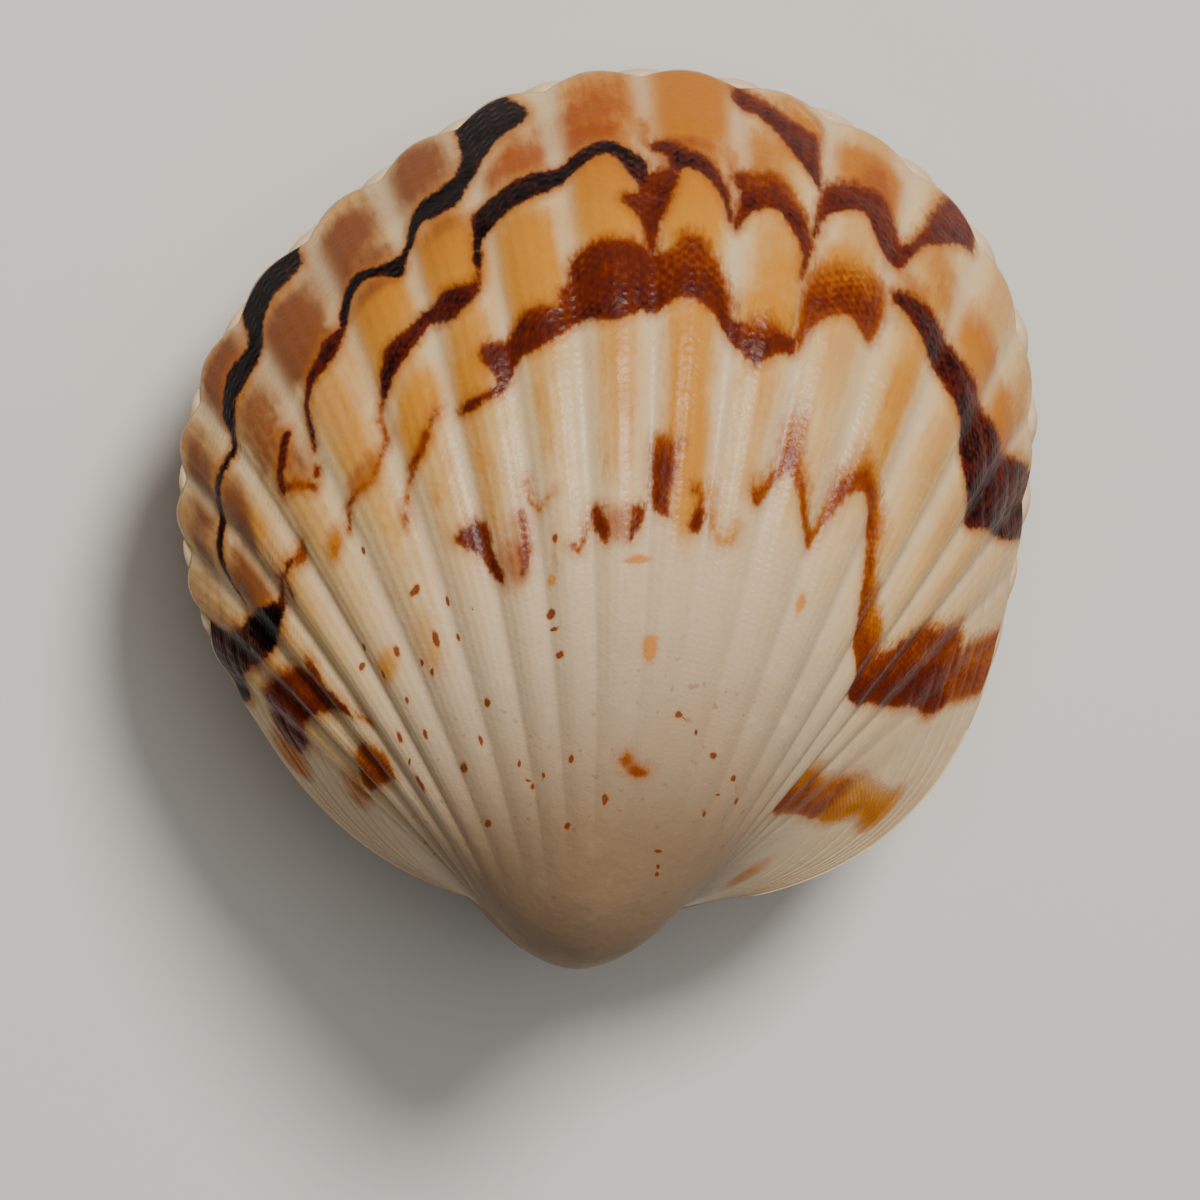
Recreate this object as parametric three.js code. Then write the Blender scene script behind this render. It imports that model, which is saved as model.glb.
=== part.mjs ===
// Tucetona auriflua: a closed pair of valves of one small bittersweet clam, lying on the belly of its lower valve.
// Each valve is one thick, ribbed bowl that grew round its beak, and a narrow brown ligament sits between the beaks.
// Millimetres, +Z up. Before it is laid down, a valve's hinge line runs along X at y = 0 and its free edge is at +Y.
import * as THREE from 'three';

// Outline of the free edge: a circle with a few low waves, flattened along the hinge line
const OUTLINE_RADIUS = 15.3;
const OUTLINE_CENTRE_Y = 14.5;
const OUTLINE_WAVES = [
  { order: 2, cos: -0.008, sin: -0.022 },
  { order: 3, cos: 0.004, sin: 0.023 },
  { order: 4, cos: -0.008, sin: 0.001 },
  { order: 5, cos: -0.015, sin: -0.007 },
];

// Growth spiral: the outline shrinks and turns about a line through the beak
const UPPER_BEAK = new THREE.Vector3(-2.85, -1.0, 0.6);
const LOWER_BEAK = new THREE.Vector3(-2.4, -1.25, 0.6);
const EDGE_GROWTH = 0.7;
const INNER_GROWTH = 1.29;
const GROWTH_CHANGE_DEG = 25;
const BEAK_TURN_DEG = 162;
const BEAK_BREADTH = 0.16;
const BEAK_BREADTH_RANGE_DEG = [50, 120];

// Radiating ribs: rib 0 starts at this angle from the beak side, and ribs narrow towards both sides
const FIRST_VALLEY_DEG = 175.6;
const RIB_PITCH_DEG = 13.4;
const RIB_CROWDING = 0.00126;
const RIBS_EACH_SIDE = 11;
const RIB_HEIGHT = 0.36;
const RIB_POWER = 1.2;
const RIB_TAPER = 0.35;
const RIB_DRIFT = { most: 0.24, rib: 5.8, width: 1.5 };
const LOW_SIDE_FADE = [5, 10.5];
const HIGH_SIDE_FADE = [8.5, 11];
const RIB_WEAR_DEG = [16, 75];
const COLUMNS_PER_RIB = 4;
const HINGE_COLUMNS = 40;

// Growth turns, in degrees, at which the outer skin has a ring of points, and the share of columns that each ring keeps
const OUTER_RINGS = [
  { turn: 2.5, thin: 1 }, { turn: 7, thin: 1 }, { turn: 13, thin: 1 }, { turn: 19, thin: 1 },
  { turn: 26, thin: 1 }, { turn: 34, thin: 1 }, { turn: 43, thin: 1 }, { turn: 53, thin: 1 },
  { turn: 65, thin: 2 }, { turn: 80, thin: 2 }, { turn: 97, thin: 4 }, { turn: 118, thin: 4 },
  { turn: 140, thin: 4 }, { turn: BEAK_TURN_DEG, thin: 4 },
];

// The flat edge, the hinge plate with its row of teeth, and the hollow inside
const EDGE_GAP = 0.42;
const EDGE_WAVE = 0.22;
const EDGE_WAVE_FADE = 12;
const EDGE_WIDTH = 1.6;
const HINGE_PLATE_WIDTH = 3.9;
const HINGE_PLATE_RANGE_DEG = [20, 72];
const TOOTH_HEIGHT = 0.1;
const TOOTH_BAND = [0.3, 0.8];
const HOLLOW_DEPTH = 7.6;
const HOLLOW_CENTRE = new THREE.Vector2(-0.3, 15.0);
const HOLLOW_DRIFT = new THREE.Vector2(-0.9, -3.6);
const HOLLOW_ROUNDNESS = 0.9;
const HOLLOW_RINGS = [
  { reach: 0.93, thin: 1 }, { reach: 0.8, thin: 1 }, { reach: 0.62, thin: 2 }, { reach: 0.4, thin: 2 },
  { reach: 0.18, thin: 4 },
];

// The lower valve sits a little to one side of the upper one, and its ribs meet the upper valve's valleys
const LOWER_SHIFT = new THREE.Vector2(0.07, -0.05);
const LOWER_RIB_OFFSET = 0.5;

// Ligament: a flattened spindle in the groove between the beaks
const LIGAMENT = { halfLength: 2.6, halfDepth: 0.27, halfHeight: 0.32, x: -1.5, y: -0.8, rounds: 12, steps: 14 };

// The pair as it lies: turned a little about X and Y, with a worn flat spot where the belly meets the surface
const REST_PITCH_DEG = -8.5;
const REST_ROLL_DEG = 0.5;
const WEAR_DEPTH = 0.3;

const FINISH = {
  upper: { color: 0xd9c7a6, roughness: 0.4 },
  lower: { color: 0xcdb892, roughness: 0.45 },
  ligament: { color: 0x3a2415, roughness: 0.7 },
};
const NORMAL_STEP = 0.004;
const rad = THREE.MathUtils.degToRad;
const smoothstep = THREE.MathUtils.smoothstep;

// Angle, in degrees, of the valley on the low side of a rib
function valleyAngle(rib) {
  return FIRST_VALLEY_DEG + RIB_PITCH_DEG * rib * (1 - RIB_CROWDING * rib * rib);
}

// Columns of the mesh: quarter ribs where there are ribs, then even steps along the hinge
function makeColumns() {
  const columns = [];
  const steps = 2 * RIBS_EACH_SIDE * COLUMNS_PER_RIB;
  for (let i = 0; i < steps; i += 1) {
    const rib = i / COLUMNS_PER_RIB - RIBS_EACH_SIDE;
    columns.push({ angle: rad(valleyAngle(rib)), rib });
  }
  const start = valleyAngle(RIBS_EACH_SIDE);
  const end = valleyAngle(-RIBS_EACH_SIDE) + 360;
  for (let i = 0; i < HINGE_COLUMNS; i += 1) {
    const angle = start + ((end - start) * i) / HINGE_COLUMNS;
    columns.push({ angle: rad(angle), rib: null });
  }
  return columns;
}

const COLUMNS = makeColumns();

// The free edge at an angle: 0 points at the hinge, half a turn at the opposite edge, and +X lies between them
function outlinePoint(angle) {
  let radius = OUTLINE_RADIUS;
  for (const wave of OUTLINE_WAVES) {
    const share = wave.cos * Math.cos(wave.order * angle) + wave.sin * Math.sin(wave.order * angle);
    radius += OUTLINE_RADIUS * share;
  }
  const y = OUTLINE_CENTRE_Y - radius * Math.cos(angle);
  return new THREE.Vector2(radius * Math.sin(angle), Math.max(y, 0));
}

// Size of the outline after a turn, as a share of its full size
function growthScale(turn) {
  const change = rad(GROWTH_CHANGE_DEG);
  const part = Math.min(turn / change, 1);
  const eased = change * (part ** 3 - part ** 4 / 2) + Math.max(turn - change, 0);
  return Math.exp(-(EDGE_GROWTH * turn + (INNER_GROWTH - EDGE_GROWTH) * eased));
}

// A point of the smooth outer skin
function skinPoint(angle, turn, beak) {
  const edge = outlinePoint(angle);
  const scale = growthScale(turn);
  const broad = 1 + BEAK_BREADTH * smoothstep(turn, ...BEAK_BREADTH_RANGE_DEG.map(rad));
  const across = edge.y - beak.y;
  return new THREE.Vector3(
    beak.x + scale * broad * (edge.x - beak.x),
    beak.y + scale * (across * Math.cos(turn) + beak.z * Math.sin(turn)),
    beak.z + scale * (across * Math.sin(turn) - beak.z * Math.cos(turn)),
  );
}

// The outward direction of the smooth skin
function skinNormal(angle, turn, beak) {
  const along = skinPoint(angle + NORMAL_STEP, turn, beak).sub(skinPoint(angle - NORMAL_STEP, turn, beak));
  const up = skinPoint(angle, turn + NORMAL_STEP, beak).sub(skinPoint(angle, turn, beak));
  const normal = along.cross(up).normalize();
  const outward = skinPoint(angle, turn, beak).sub(skinPoint(angle + Math.PI, turn, beak));
  return normal.dot(outward) < 0 ? normal.negate() : normal;
}

// Share of their full strength that the ribs of a column have: they fade out towards both ends of the hinge
function ribStrength(column) {
  if (column.rib === null) {
    return 0;
  }
  const fade = column.rib < 0 ? LOW_SIDE_FADE : HIGH_SIDE_FADE;
  return 1 - smoothstep(Math.abs(column.rib), ...fade);
}

// Rib coordinate of the relief: round the high side the ribs stand a little further on than even spacing puts them
function ribPhase(column) {
  return column.rib - RIB_DRIFT.most * Math.exp(-(((column.rib - RIB_DRIFT.rib) / RIB_DRIFT.width) ** 2));
}

// How far a rib stands up here: round-topped, and worn away towards the beak
function ribRelief(column, turn, offset) {
  const wear = 1 - smoothstep(turn, ...RIB_WEAR_DEG.map(rad));
  const crest = Math.abs(Math.sin(Math.PI * (ribPhase(column) + offset))) ** RIB_POWER;
  return RIB_HEIGHT * ribStrength(column) * wear * growthScale(turn) ** RIB_TAPER * crest;
}

// Height of the surface in which the two edges meet: waves that follow the ribs, so that the valves lock
function edgeWave(column) {
  return EDGE_WAVE * ribStrength(column) * Math.cos(2 * Math.PI * ribPhase(column));
}

// Angle away from the middle of the hinge, on either side
function fromHinge(angle) {
  return Math.abs(THREE.MathUtils.euclideanModulo(angle + Math.PI, 2 * Math.PI) - Math.PI);
}

// Width of the flat edge: wider along the hinge plate
function edgeWidth(angle) {
  const plate = 1 - smoothstep(fromHinge(angle), ...HINGE_PLATE_RANGE_DEG.map(rad));
  return EDGE_WIDTH + (HINGE_PLATE_WIDTH - EDGE_WIDTH) * plate;
}

// Alternate columns of the hinge plate stand up or down as a row of teeth
function toothHeight(index) {
  const onPlate = fromHinge(COLUMNS[index].angle) < rad(HINGE_PLATE_RANGE_DEG[1]);
  return onPlate ? TOOTH_HEIGHT * (index % 2 === 0 ? 1 : -1) : 0;
}

// A ring of points, one for each column that it keeps
function ring(thin, place) {
  const points = [];
  for (let index = 0; index < COLUMNS.length; index += thin) {
    points.push(place(COLUMNS[index], index));
  }
  return points;
}

// The rings of one valve, from its beak over the outer skin, across the flat edge and up into the hollow.
// side is 1 for the upper valve and -1 for the lower one, whose own up points down.
function valveRings(side) {
  const offset = side > 0 ? 0 : LOWER_RIB_OFFSET;
  const beak = side > 0 ? UPPER_BEAK : LOWER_BEAK;
  const lift = EDGE_GAP / 2;
  const meet = (column) => side * edgeWave(column) + lift;
  const rings = [];
  for (const { turn, thin } of [...OUTER_RINGS].reverse()) {
    rings.push(ring(thin, (column) => {
      const phi = rad(turn);
      const point = skinPoint(column.angle, phi, beak);
      point.addScaledVector(skinNormal(column.angle, phi, beak), ribRelief(column, phi, offset));
      point.z += lift + (meet(column) - lift) * growthScale(phi) ** EDGE_WAVE_FADE;
      return point;
    }));
  }
  const edgePoint = (column, share, z) => {
    const outer = outlinePoint(column.angle);
    const towards = HOLLOW_CENTRE.clone().sub(outer).normalize();
    const relief = ribRelief(column, 0, offset) * (1 - share);
    outer.addScaledVector(towards, share * edgeWidth(column.angle) - relief);
    return new THREE.Vector3(outer.x, outer.y, z);
  };
  rings.push(ring(1, (column) => edgePoint(column, 0, meet(column))));
  for (const share of TOOTH_BAND) {
    rings.push(ring(1, (column, index) => edgePoint(column, share, meet(column) + side * toothHeight(index))));
  }
  rings.push(ring(1, (column) => edgePoint(column, 1, meet(column))));
  for (const { reach, thin } of HOLLOW_RINGS) {
    rings.push(ring(thin, (column) => {
      const rim = edgePoint(column, 1, 0);
      const depth = (1 - reach * reach) ** HOLLOW_ROUNDNESS;
      const x = HOLLOW_CENTRE.x + reach * (rim.x - HOLLOW_CENTRE.x) + HOLLOW_DRIFT.x * (1 - reach);
      const y = HOLLOW_CENTRE.y + reach * (rim.y - HOLLOW_CENTRE.y) + HOLLOW_DRIFT.y * (1 - reach);
      return new THREE.Vector3(x, y, meet(column) * reach + HOLLOW_DEPTH * depth);
    }));
  }
  return rings;
}

// Joins two rings that follow each other, where one has a whole number of points for each point of the other
function stitch(triangles, first, second) {
  const many = Math.max(first.length, second.length);
  const every = (points, step) => points.start + (Math.floor((step * points.length) / many) % points.length);
  for (let step = 0; step < many; step += 1) {
    const a = every(first, step);
    const b = every(first, step + 1);
    const c = every(second, step);
    const d = every(second, step + 1);
    if (a !== b) {
      triangles.push(a, d, b);
    }
    if (c !== d) {
      triangles.push(a, c, d);
    }
  }
}

// A closed mesh through rings of points, with a point in the middle of the first and the last ring
function closedMesh(rings) {
  const points = [];
  const triangles = [];
  const spans = rings.map((list) => {
    const span = { start: points.length, length: list.length };
    points.push(...list);
    return span;
  });
  for (let i = 0; i + 1 < spans.length; i += 1) {
    stitch(triangles, spans[i], spans[i + 1]);
  }
  const cap = (span, list, flip) => {
    const middle = list.reduce((sum, point) => sum.add(point), new THREE.Vector3()).divideScalar(list.length);
    const centre = points.push(middle) - 1;
    for (let i = 0; i < span.length; i += 1) {
      const here = span.start + i;
      const next = span.start + ((i + 1) % span.length);
      triangles.push(centre, ...(flip ? [next, here] : [here, next]));
    }
  };
  cap(spans[0], rings[0], false);
  cap(spans[spans.length - 1], rings[rings.length - 1], true);
  const geometry = new THREE.BufferGeometry();
  geometry.setAttribute('position', new THREE.Float32BufferAttribute(points.flatMap((p) => p.toArray()), 3));
  geometry.setIndex(triangles);
  return geometry;
}

// Turns every triangle over
function flipFaces(geometry) {
  const index = geometry.getIndex();
  for (let i = 0; i < index.count; i += 3) {
    const second = index.getX(i + 1);
    index.setX(i + 1, index.getX(i + 2));
    index.setX(i + 2, second);
  }
  return geometry;
}

function upperValve() {
  return closedMesh(valveRings(1));
}

function lowerValve() {
  const geometry = flipFaces(closedMesh(valveRings(-1)));
  geometry.scale(1, 1, -1);
  geometry.translate(LOWER_SHIFT.x, LOWER_SHIFT.y, 0);
  return geometry;
}

function ligament() {
  const profile = [];
  for (let i = 0; i <= LIGAMENT.steps; i += 1) {
    const along = Math.PI * (i / LIGAMENT.steps);
    profile.push(new THREE.Vector2(i % LIGAMENT.steps === 0 ? 0 : Math.sin(along), -Math.cos(along)));
  }
  const geometry = new THREE.LatheGeometry(profile, LIGAMENT.rounds);
  geometry.scale(LIGAMENT.halfDepth, LIGAMENT.halfLength, LIGAMENT.halfHeight);
  geometry.rotateZ(-Math.PI / 2);
  geometry.translate(LIGAMENT.x, LIGAMENT.y, 0);
  return geometry;
}

// Lays the pair down, puts its lowest point just under the surface and wears away what is below
function layDown(geometries) {
  const turn = new THREE.Matrix4().makeRotationFromEuler(new THREE.Euler(rad(REST_PITCH_DEG), rad(REST_ROLL_DEG), 0));
  const box = new THREE.Box3();
  for (const geometry of geometries) {
    geometry.applyMatrix4(turn);
    geometry.computeBoundingBox();
    box.union(geometry.boundingBox);
  }
  const centre = box.getCenter(new THREE.Vector3());
  for (const geometry of geometries) {
    geometry.translate(-centre.x, -centre.y, -box.min.z - WEAR_DEPTH);
    const position = geometry.getAttribute('position');
    for (let i = 0; i < position.count; i += 1) {
      position.setZ(i, Math.max(position.getZ(i), 0));
    }
    geometry.computeVertexNormals();
  }
}

function piece(name, geometry, finish) {
  const material = new THREE.MeshStandardMaterial({ ...finish, metalness: 0 });
  const mesh = new THREE.Mesh(geometry, material);
  mesh.name = name;
  return mesh;
}

const parts = { upper: upperValve(), lower: lowerValve(), ligament: ligament() };
layDown(Object.values(parts));

const shell = new THREE.Group();
shell.add(piece('upper_valve', parts.upper, FINISH.upper));
shell.add(piece('lower_valve', parts.lower, FINISH.lower));
shell.add(piece('ligament', parts.ligament, FINISH.ligament));

export default shell;
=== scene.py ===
# Tucetona auriflua: a closed pair of shell valves lying on the belly of the lower one, seen from above.
# Shapes are worked out in millimetres in the shell's own frame, where the hinge line runs along X at y = 0
# and the free edge is at +Y. They are then laid down and turned into metres in the row frame.
import math
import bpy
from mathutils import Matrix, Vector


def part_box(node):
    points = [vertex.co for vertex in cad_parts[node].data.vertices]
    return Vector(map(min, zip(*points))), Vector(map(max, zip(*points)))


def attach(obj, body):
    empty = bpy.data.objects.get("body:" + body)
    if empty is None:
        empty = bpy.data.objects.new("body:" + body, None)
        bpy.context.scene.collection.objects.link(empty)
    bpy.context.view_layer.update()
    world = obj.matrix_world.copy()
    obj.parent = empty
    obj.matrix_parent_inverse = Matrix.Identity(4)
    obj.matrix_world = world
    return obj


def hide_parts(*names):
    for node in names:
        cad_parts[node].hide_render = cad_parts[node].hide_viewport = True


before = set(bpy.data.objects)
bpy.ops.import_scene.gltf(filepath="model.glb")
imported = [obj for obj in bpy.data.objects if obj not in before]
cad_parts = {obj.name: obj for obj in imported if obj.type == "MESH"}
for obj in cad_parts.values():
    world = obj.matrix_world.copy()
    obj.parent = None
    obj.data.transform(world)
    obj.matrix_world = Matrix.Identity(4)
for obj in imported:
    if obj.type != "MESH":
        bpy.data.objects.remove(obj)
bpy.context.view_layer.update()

from types import SimpleNamespace

import bpy
import numpy as np
from mathutils import Euler, Matrix, Vector

rng = np.random.default_rng(7)
MM = 0.001
TINY = 1e-12

# Outline of the free edge: a circle with a few low waves, as order, cosine part and sine part
OUTLINE_RADIUS = 15.3
OUTLINE_CENTRE_Y = 14.5
OUTLINE_WAVES = [(2, -0.008, -0.022), (3, 0.004, 0.023), (4, -0.008, 0.001), (5, -0.015, -0.007)]

# Growth spiral: the outline shrinks and turns about a line through the beak
UPPER_BEAK = np.array([-2.85, -1.0, 0.6])
LOWER_BEAK = np.array([-2.4, -1.25, 0.6])
EDGE_GROWTH = 0.7
INNER_GROWTH = 1.29
GROWTH_CHANGE = math.radians(25)
BEAK_TURN_DEG = 162.0
BEAK_BREADTH = 0.16
BEAK_BREADTH_RANGE_DEG = (50, 120)
NORMAL_STEP = 0.004

# Radiating ribs
FIRST_VALLEY_DEG = 175.6
RIB_PITCH_DEG = 13.4
RIB_CROWDING = 0.00126
RIBS_EACH_SIDE = 11
RIB_HEIGHT = 0.36
RIB_POWER = 1.2
RIB_TAPER = 0.35
LOW_SIDE_FADE = (5, 10.5)
HIGH_SIDE_FADE = (8.5, 11)
RIB_WEAR_DEG = (16, 75)
RIB_DRIFT = 0.24
RIB_DRIFT_AT = 5.8
RIB_DRIFT_WIDTH = 1.5

# Mesh density
COLUMNS_PER_RIB = 24
HINGE_COLUMNS = 84
FINE_ROW = 0.25
COARSE_ROW = 0.55
FINE_TURN_DEG = 36
WIDEST_ROW_DEG = 3.0

# Edges and inside
EDGE_GAP = 0.08
EDGE_WAVE = 0.22
EDGE_WAVE_FADE = 12
EDGE_WIDTH = 1.6
EDGE_SHARES = (0.0, 0.15, 0.35, 0.55, 0.75, 0.9)
HINGE_PLATE_WIDTH = 3.9
HINGE_PLATE_FADE_DEG = 20
HINGE_HALF_ANGLE_DEG = 72
TOOTH_HEIGHT = 0.1
TEETH_EACH_SIDE = 10
TOOTH_FADE = 0.92
TOOTH_SHARES = (0.3, 0.8)
HOLLOW_DEPTH = 7.6
HOLLOW_CENTRE = np.array([-0.3, 15.0])
HOLLOW_DRIFT = np.array([-0.9, -3.6])
HOLLOW_ROUNDNESS = 0.9
HOLLOW_REACHES = [0.97, 0.9, 0.8, 0.66, 0.5, 0.32, 0.15]

LOWER_SHIFT = np.array([0.07, -0.05, 0.0])
LOWER_RIB_OFFSET = 0.5
LIGAMENT_CENTRE = Vector((-1.5, -0.8, 0.0))
LIGAMENT_HALF_LENGTH = 2.6
LIGAMENT_HALF_DEPTH = 0.27
LIGAMENT_HALF_HEIGHT = 0.32
REST_TURN = Euler((math.radians(-8.5), math.radians(0.5), 0))

# Camera, in millimetres in the shell's own frame, but with its nearest clip in metres
CAMERA_TARGET = Vector((0.0, 14.0, 3.0))
CAMERA_YAW_DEG = -8.8
CAMERA_PITCH_DEG = 2.26
CAMERA_ROLL_DEG = -2.06
CAMERA_DISTANCE = 230.0
FRAME_WIDTH = 42.86
SENSOR = 36.0
CAMERA_CLIP = 0.01
AIM_RIGHT = -1.27
AIM_UP = -3.0


def smoothstep(x, low, high):
    t = np.clip((np.asarray(x, float) - low) / (high - low), 0, 1)
    return t * t * (3 - 2 * t)


def valley_angle(rib):
    """Angle in degrees from the hinge side to the valley on the low side of a rib."""
    return FIRST_VALLEY_DEG + RIB_PITCH_DEG * rib * (1 - RIB_CROWDING * rib * rib)


def outline(angle):
    waves = sum(c * np.cos(n * angle) + s * np.sin(n * angle) for n, c, s in OUTLINE_WAVES)
    radius = OUTLINE_RADIUS * (1 + waves)
    return radius * np.sin(angle), np.maximum(OUTLINE_CENTRE_Y - radius * np.cos(angle), 0)


def growth_scale(turn):
    part = np.minimum(turn / GROWTH_CHANGE, 1)
    eased = GROWTH_CHANGE * (part**3 - part**4 / 2) + np.maximum(turn - GROWTH_CHANGE, 0)
    return np.exp(-(EDGE_GROWTH * turn + (INNER_GROWTH - EDGE_GROWTH) * eased))


def skin(angle, turn, beak=UPPER_BEAK):
    """Points of the smooth outer skin, for angle and turn in radians."""
    x, y = outline(angle)
    scale = growth_scale(turn)
    broad = 1 + BEAK_BREADTH * smoothstep(turn, *np.radians(BEAK_BREADTH_RANGE_DEG))
    across = y - beak[1]
    return np.stack([
        beak[0] + scale * broad * (x - beak[0]),
        beak[1] + scale * (across * np.cos(turn) + beak[2] * np.sin(turn)),
        beak[2] + scale * (across * np.sin(turn) - beak[2] * np.cos(turn)),
    ], -1)


def skin_normal(angle, turn, beak):
    along = skin(angle + NORMAL_STEP, turn, beak) - skin(angle - NORMAL_STEP, turn, beak)
    up = skin(angle, turn + NORMAL_STEP, beak) - skin(angle, turn, beak)
    normal = np.cross(along, up)
    normal /= np.maximum(np.linalg.norm(normal, axis=-1, keepdims=True), TINY)
    outward = skin(angle, turn, beak) - skin(angle + math.pi, turn, beak)
    facing = np.sum(normal * outward, axis=-1, keepdims=True)
    return np.where(facing < 0, -normal, normal)


# Columns of the mesh, with the rib coordinate that the markings use: it goes on evenly past the last rib
END_PITCH_DEG = valley_angle(RIBS_EACH_SIDE) - valley_angle(RIBS_EACH_SIDE - 1)


def make_columns():
    ribs = np.arange(2 * RIBS_EACH_SIDE * COLUMNS_PER_RIB) / COLUMNS_PER_RIB - RIBS_EACH_SIDE
    start = valley_angle(RIBS_EACH_SIDE)
    end = valley_angle(-RIBS_EACH_SIDE) + 360
    hinge = start + (end - start) * np.arange(HINGE_COLUMNS) / HINGE_COLUMNS
    past = np.where(hinge < 360, RIBS_EACH_SIDE + (hinge - start) / END_PITCH_DEG,
                    -RIBS_EACH_SIDE - (end - hinge) / END_PITCH_DEG)
    return np.radians(np.concatenate([valley_angle(ribs), hinge])), np.concatenate([ribs, past])


ANGLES, RIBS = make_columns()


def make_rows():
    turns = [0.0]
    reach = OUTLINE_CENTRE_Y + OUTLINE_RADIUS - UPPER_BEAK[1]
    while turns[-1] < BEAK_TURN_DEG:
        spacing = FINE_ROW if turns[-1] < FINE_TURN_DEG else COARSE_ROW
        speed = math.radians(1) * reach * growth_scale(math.radians(turns[-1])) * math.hypot(1, INNER_GROWTH)
        turns.append(turns[-1] + min(spacing / speed, WIDEST_ROW_DEG))
    turns[-1] = BEAK_TURN_DEG
    return np.array(turns)


TURNS_DEG = make_rows()


def rib_strength(rib):
    low = 1 - smoothstep(-rib, *LOW_SIDE_FADE)
    high = 1 - smoothstep(rib, *HIGH_SIDE_FADE)
    return np.where(rib < 0, low, high)


def rib_phase(rib):
    """Rib coordinate of the relief: on the high side the ribs stand a little further round."""
    return rib - RIB_DRIFT * np.exp(-(((rib - RIB_DRIFT_AT) / RIB_DRIFT_WIDTH) ** 2))


def rib_relief(rib, turn, offset):
    wear = 1 - smoothstep(turn, *np.radians(RIB_WEAR_DEG))
    crest = np.abs(np.sin(math.pi * (rib_phase(rib) + offset))) ** RIB_POWER
    return RIB_HEIGHT * rib_strength(rib) * wear * growth_scale(turn) ** RIB_TAPER * crest


def edge_wave(rib):
    return EDGE_WAVE * rib_strength(rib) * np.cos(2 * math.pi * rib_phase(rib))


def from_hinge(angle):
    return np.abs((angle + math.pi) % (2 * math.pi) - math.pi)


def edge_width(angle):
    plate = 1 - smoothstep(from_hinge(angle), *np.radians([HINGE_PLATE_FADE_DEG, HINGE_HALF_ANGLE_DEG]))
    return EDGE_WIDTH + (HINGE_PLATE_WIDTH - EDGE_WIDTH) * plate


def tooth(angle):
    half = math.radians(HINGE_HALF_ANGLE_DEG)
    away = from_hinge(angle)
    inside = 1 - smoothstep(away, half * TOOTH_FADE, half)
    return TOOTH_HEIGHT * inside * np.sin(math.pi * 2 * TEETH_EACH_SIDE * away / half)


# Fine sculpture on the skin: radial threads, growth lines and a few growth ledges
THREADS_PER_RIB = 6
THREAD_HEIGHT = 0.009
FINE_FADE_DEG = (16, 56)
GROWTH_LINES = [(3.1, 0.02), (5.6, 0.03), (8.0, 0.02), (10.6, 0.035), (14.0, 0.02),
                (17.6, 0.03), (22.0, 0.02), (27.5, 0.025), (34.0, 0.02), (43.0, 0.02)]
LINE_WIDTH_DEG = 0.7
LINE_WAVE_DEG = 0.35
LINE_SWAY_DEG = 0.3
LINE_SWAY_RATE = 0.9


def fine_relief(rib, turn_deg, offset):
    strength = 1 - smoothstep(turn_deg, *FINE_FADE_DEG)
    phase = rib_phase(rib) + offset
    threads = THREAD_HEIGHT * np.cos(2 * math.pi * THREADS_PER_RIB * phase) * rib_strength(rib)
    wave = LINE_WAVE_DEG * np.cos(2 * math.pi * phase) * rib_strength(rib)
    wavy = turn_deg + wave + LINE_SWAY_DEG * np.sin(rib * LINE_SWAY_RATE)
    steps = sum(high * (1 - smoothstep(np.abs(wavy - at), 0, LINE_WIDTH_DEG)) for at, high in GROWTH_LINES)
    return strength * (threads - steps)


def valve_rings(side):
    """The rings of one valve, from its beak over the skin, across the flat edge and up into the hollow."""
    offset = 0.0 if side > 0 else LOWER_RIB_OFFSET
    beak = UPPER_BEAK if side > 0 else LOWER_BEAK
    lift = EDGE_GAP / 2
    meet = side * edge_wave(RIBS) + lift
    rings = []
    for turn_deg in TURNS_DEG[::-1]:
        turn = math.radians(turn_deg)
        points = skin(ANGLES, turn, beak)
        relief = rib_relief(RIBS, turn, offset)
        if turn_deg > 0:
            relief = relief + fine_relief(RIBS, turn_deg, offset)
        points = points + skin_normal(ANGLES, turn, beak) * relief[:, None]
        points[:, 2] += lift + (meet - lift) * growth_scale(turn) ** EDGE_WAVE_FADE
        rings.append(points)
    skin_rings = len(rings)
    outer_x, outer_y = outline(ANGLES)
    outer = np.stack([outer_x, outer_y], 1)
    inward = HOLLOW_CENTRE - outer
    inward /= np.linalg.norm(inward, axis=1, keepdims=True)

    def edge_ring(share, z):
        relief = rib_relief(RIBS, 0.0, offset) * (1 - share)
        flat = outer + inward * (share * edge_width(ANGLES) - relief)[:, None]
        return np.column_stack([flat, z])

    for share in EDGE_SHARES:
        toothed = TOOTH_SHARES[0] < share < TOOTH_SHARES[1]
        rings.append(edge_ring(share, meet + side * tooth(ANGLES) * toothed))
    rim = edge_ring(1.0, meet)
    rings.append(rim)
    for reach in HOLLOW_REACHES:
        depth = (1 - reach * reach) ** HOLLOW_ROUNDNESS
        flat = HOLLOW_CENTRE + reach * (rim[:, :2] - HOLLOW_CENTRE) + HOLLOW_DRIFT * (1 - reach)
        rings.append(np.column_stack([flat, meet * reach + HOLLOW_DEPTH * depth]))
    return rings, skin_rings


# Placing: the ligament's solid is a spindle about a known point, so its box gives the shift
lowest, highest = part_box("ligament")
PLACE = (lowest + highest) / 2 - REST_TURN.to_matrix() @ LIGAMENT_CENTRE * MM


def to_row(points):
    """Points of the shell's own frame, in millimetres, in the row frame, in metres."""
    turned = np.asarray(points) @ np.array(REST_TURN.to_matrix()).T * MM + np.array(PLACE)
    turned[:, 2] = np.maximum(turned[:, 2], 0)
    return turned


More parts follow.
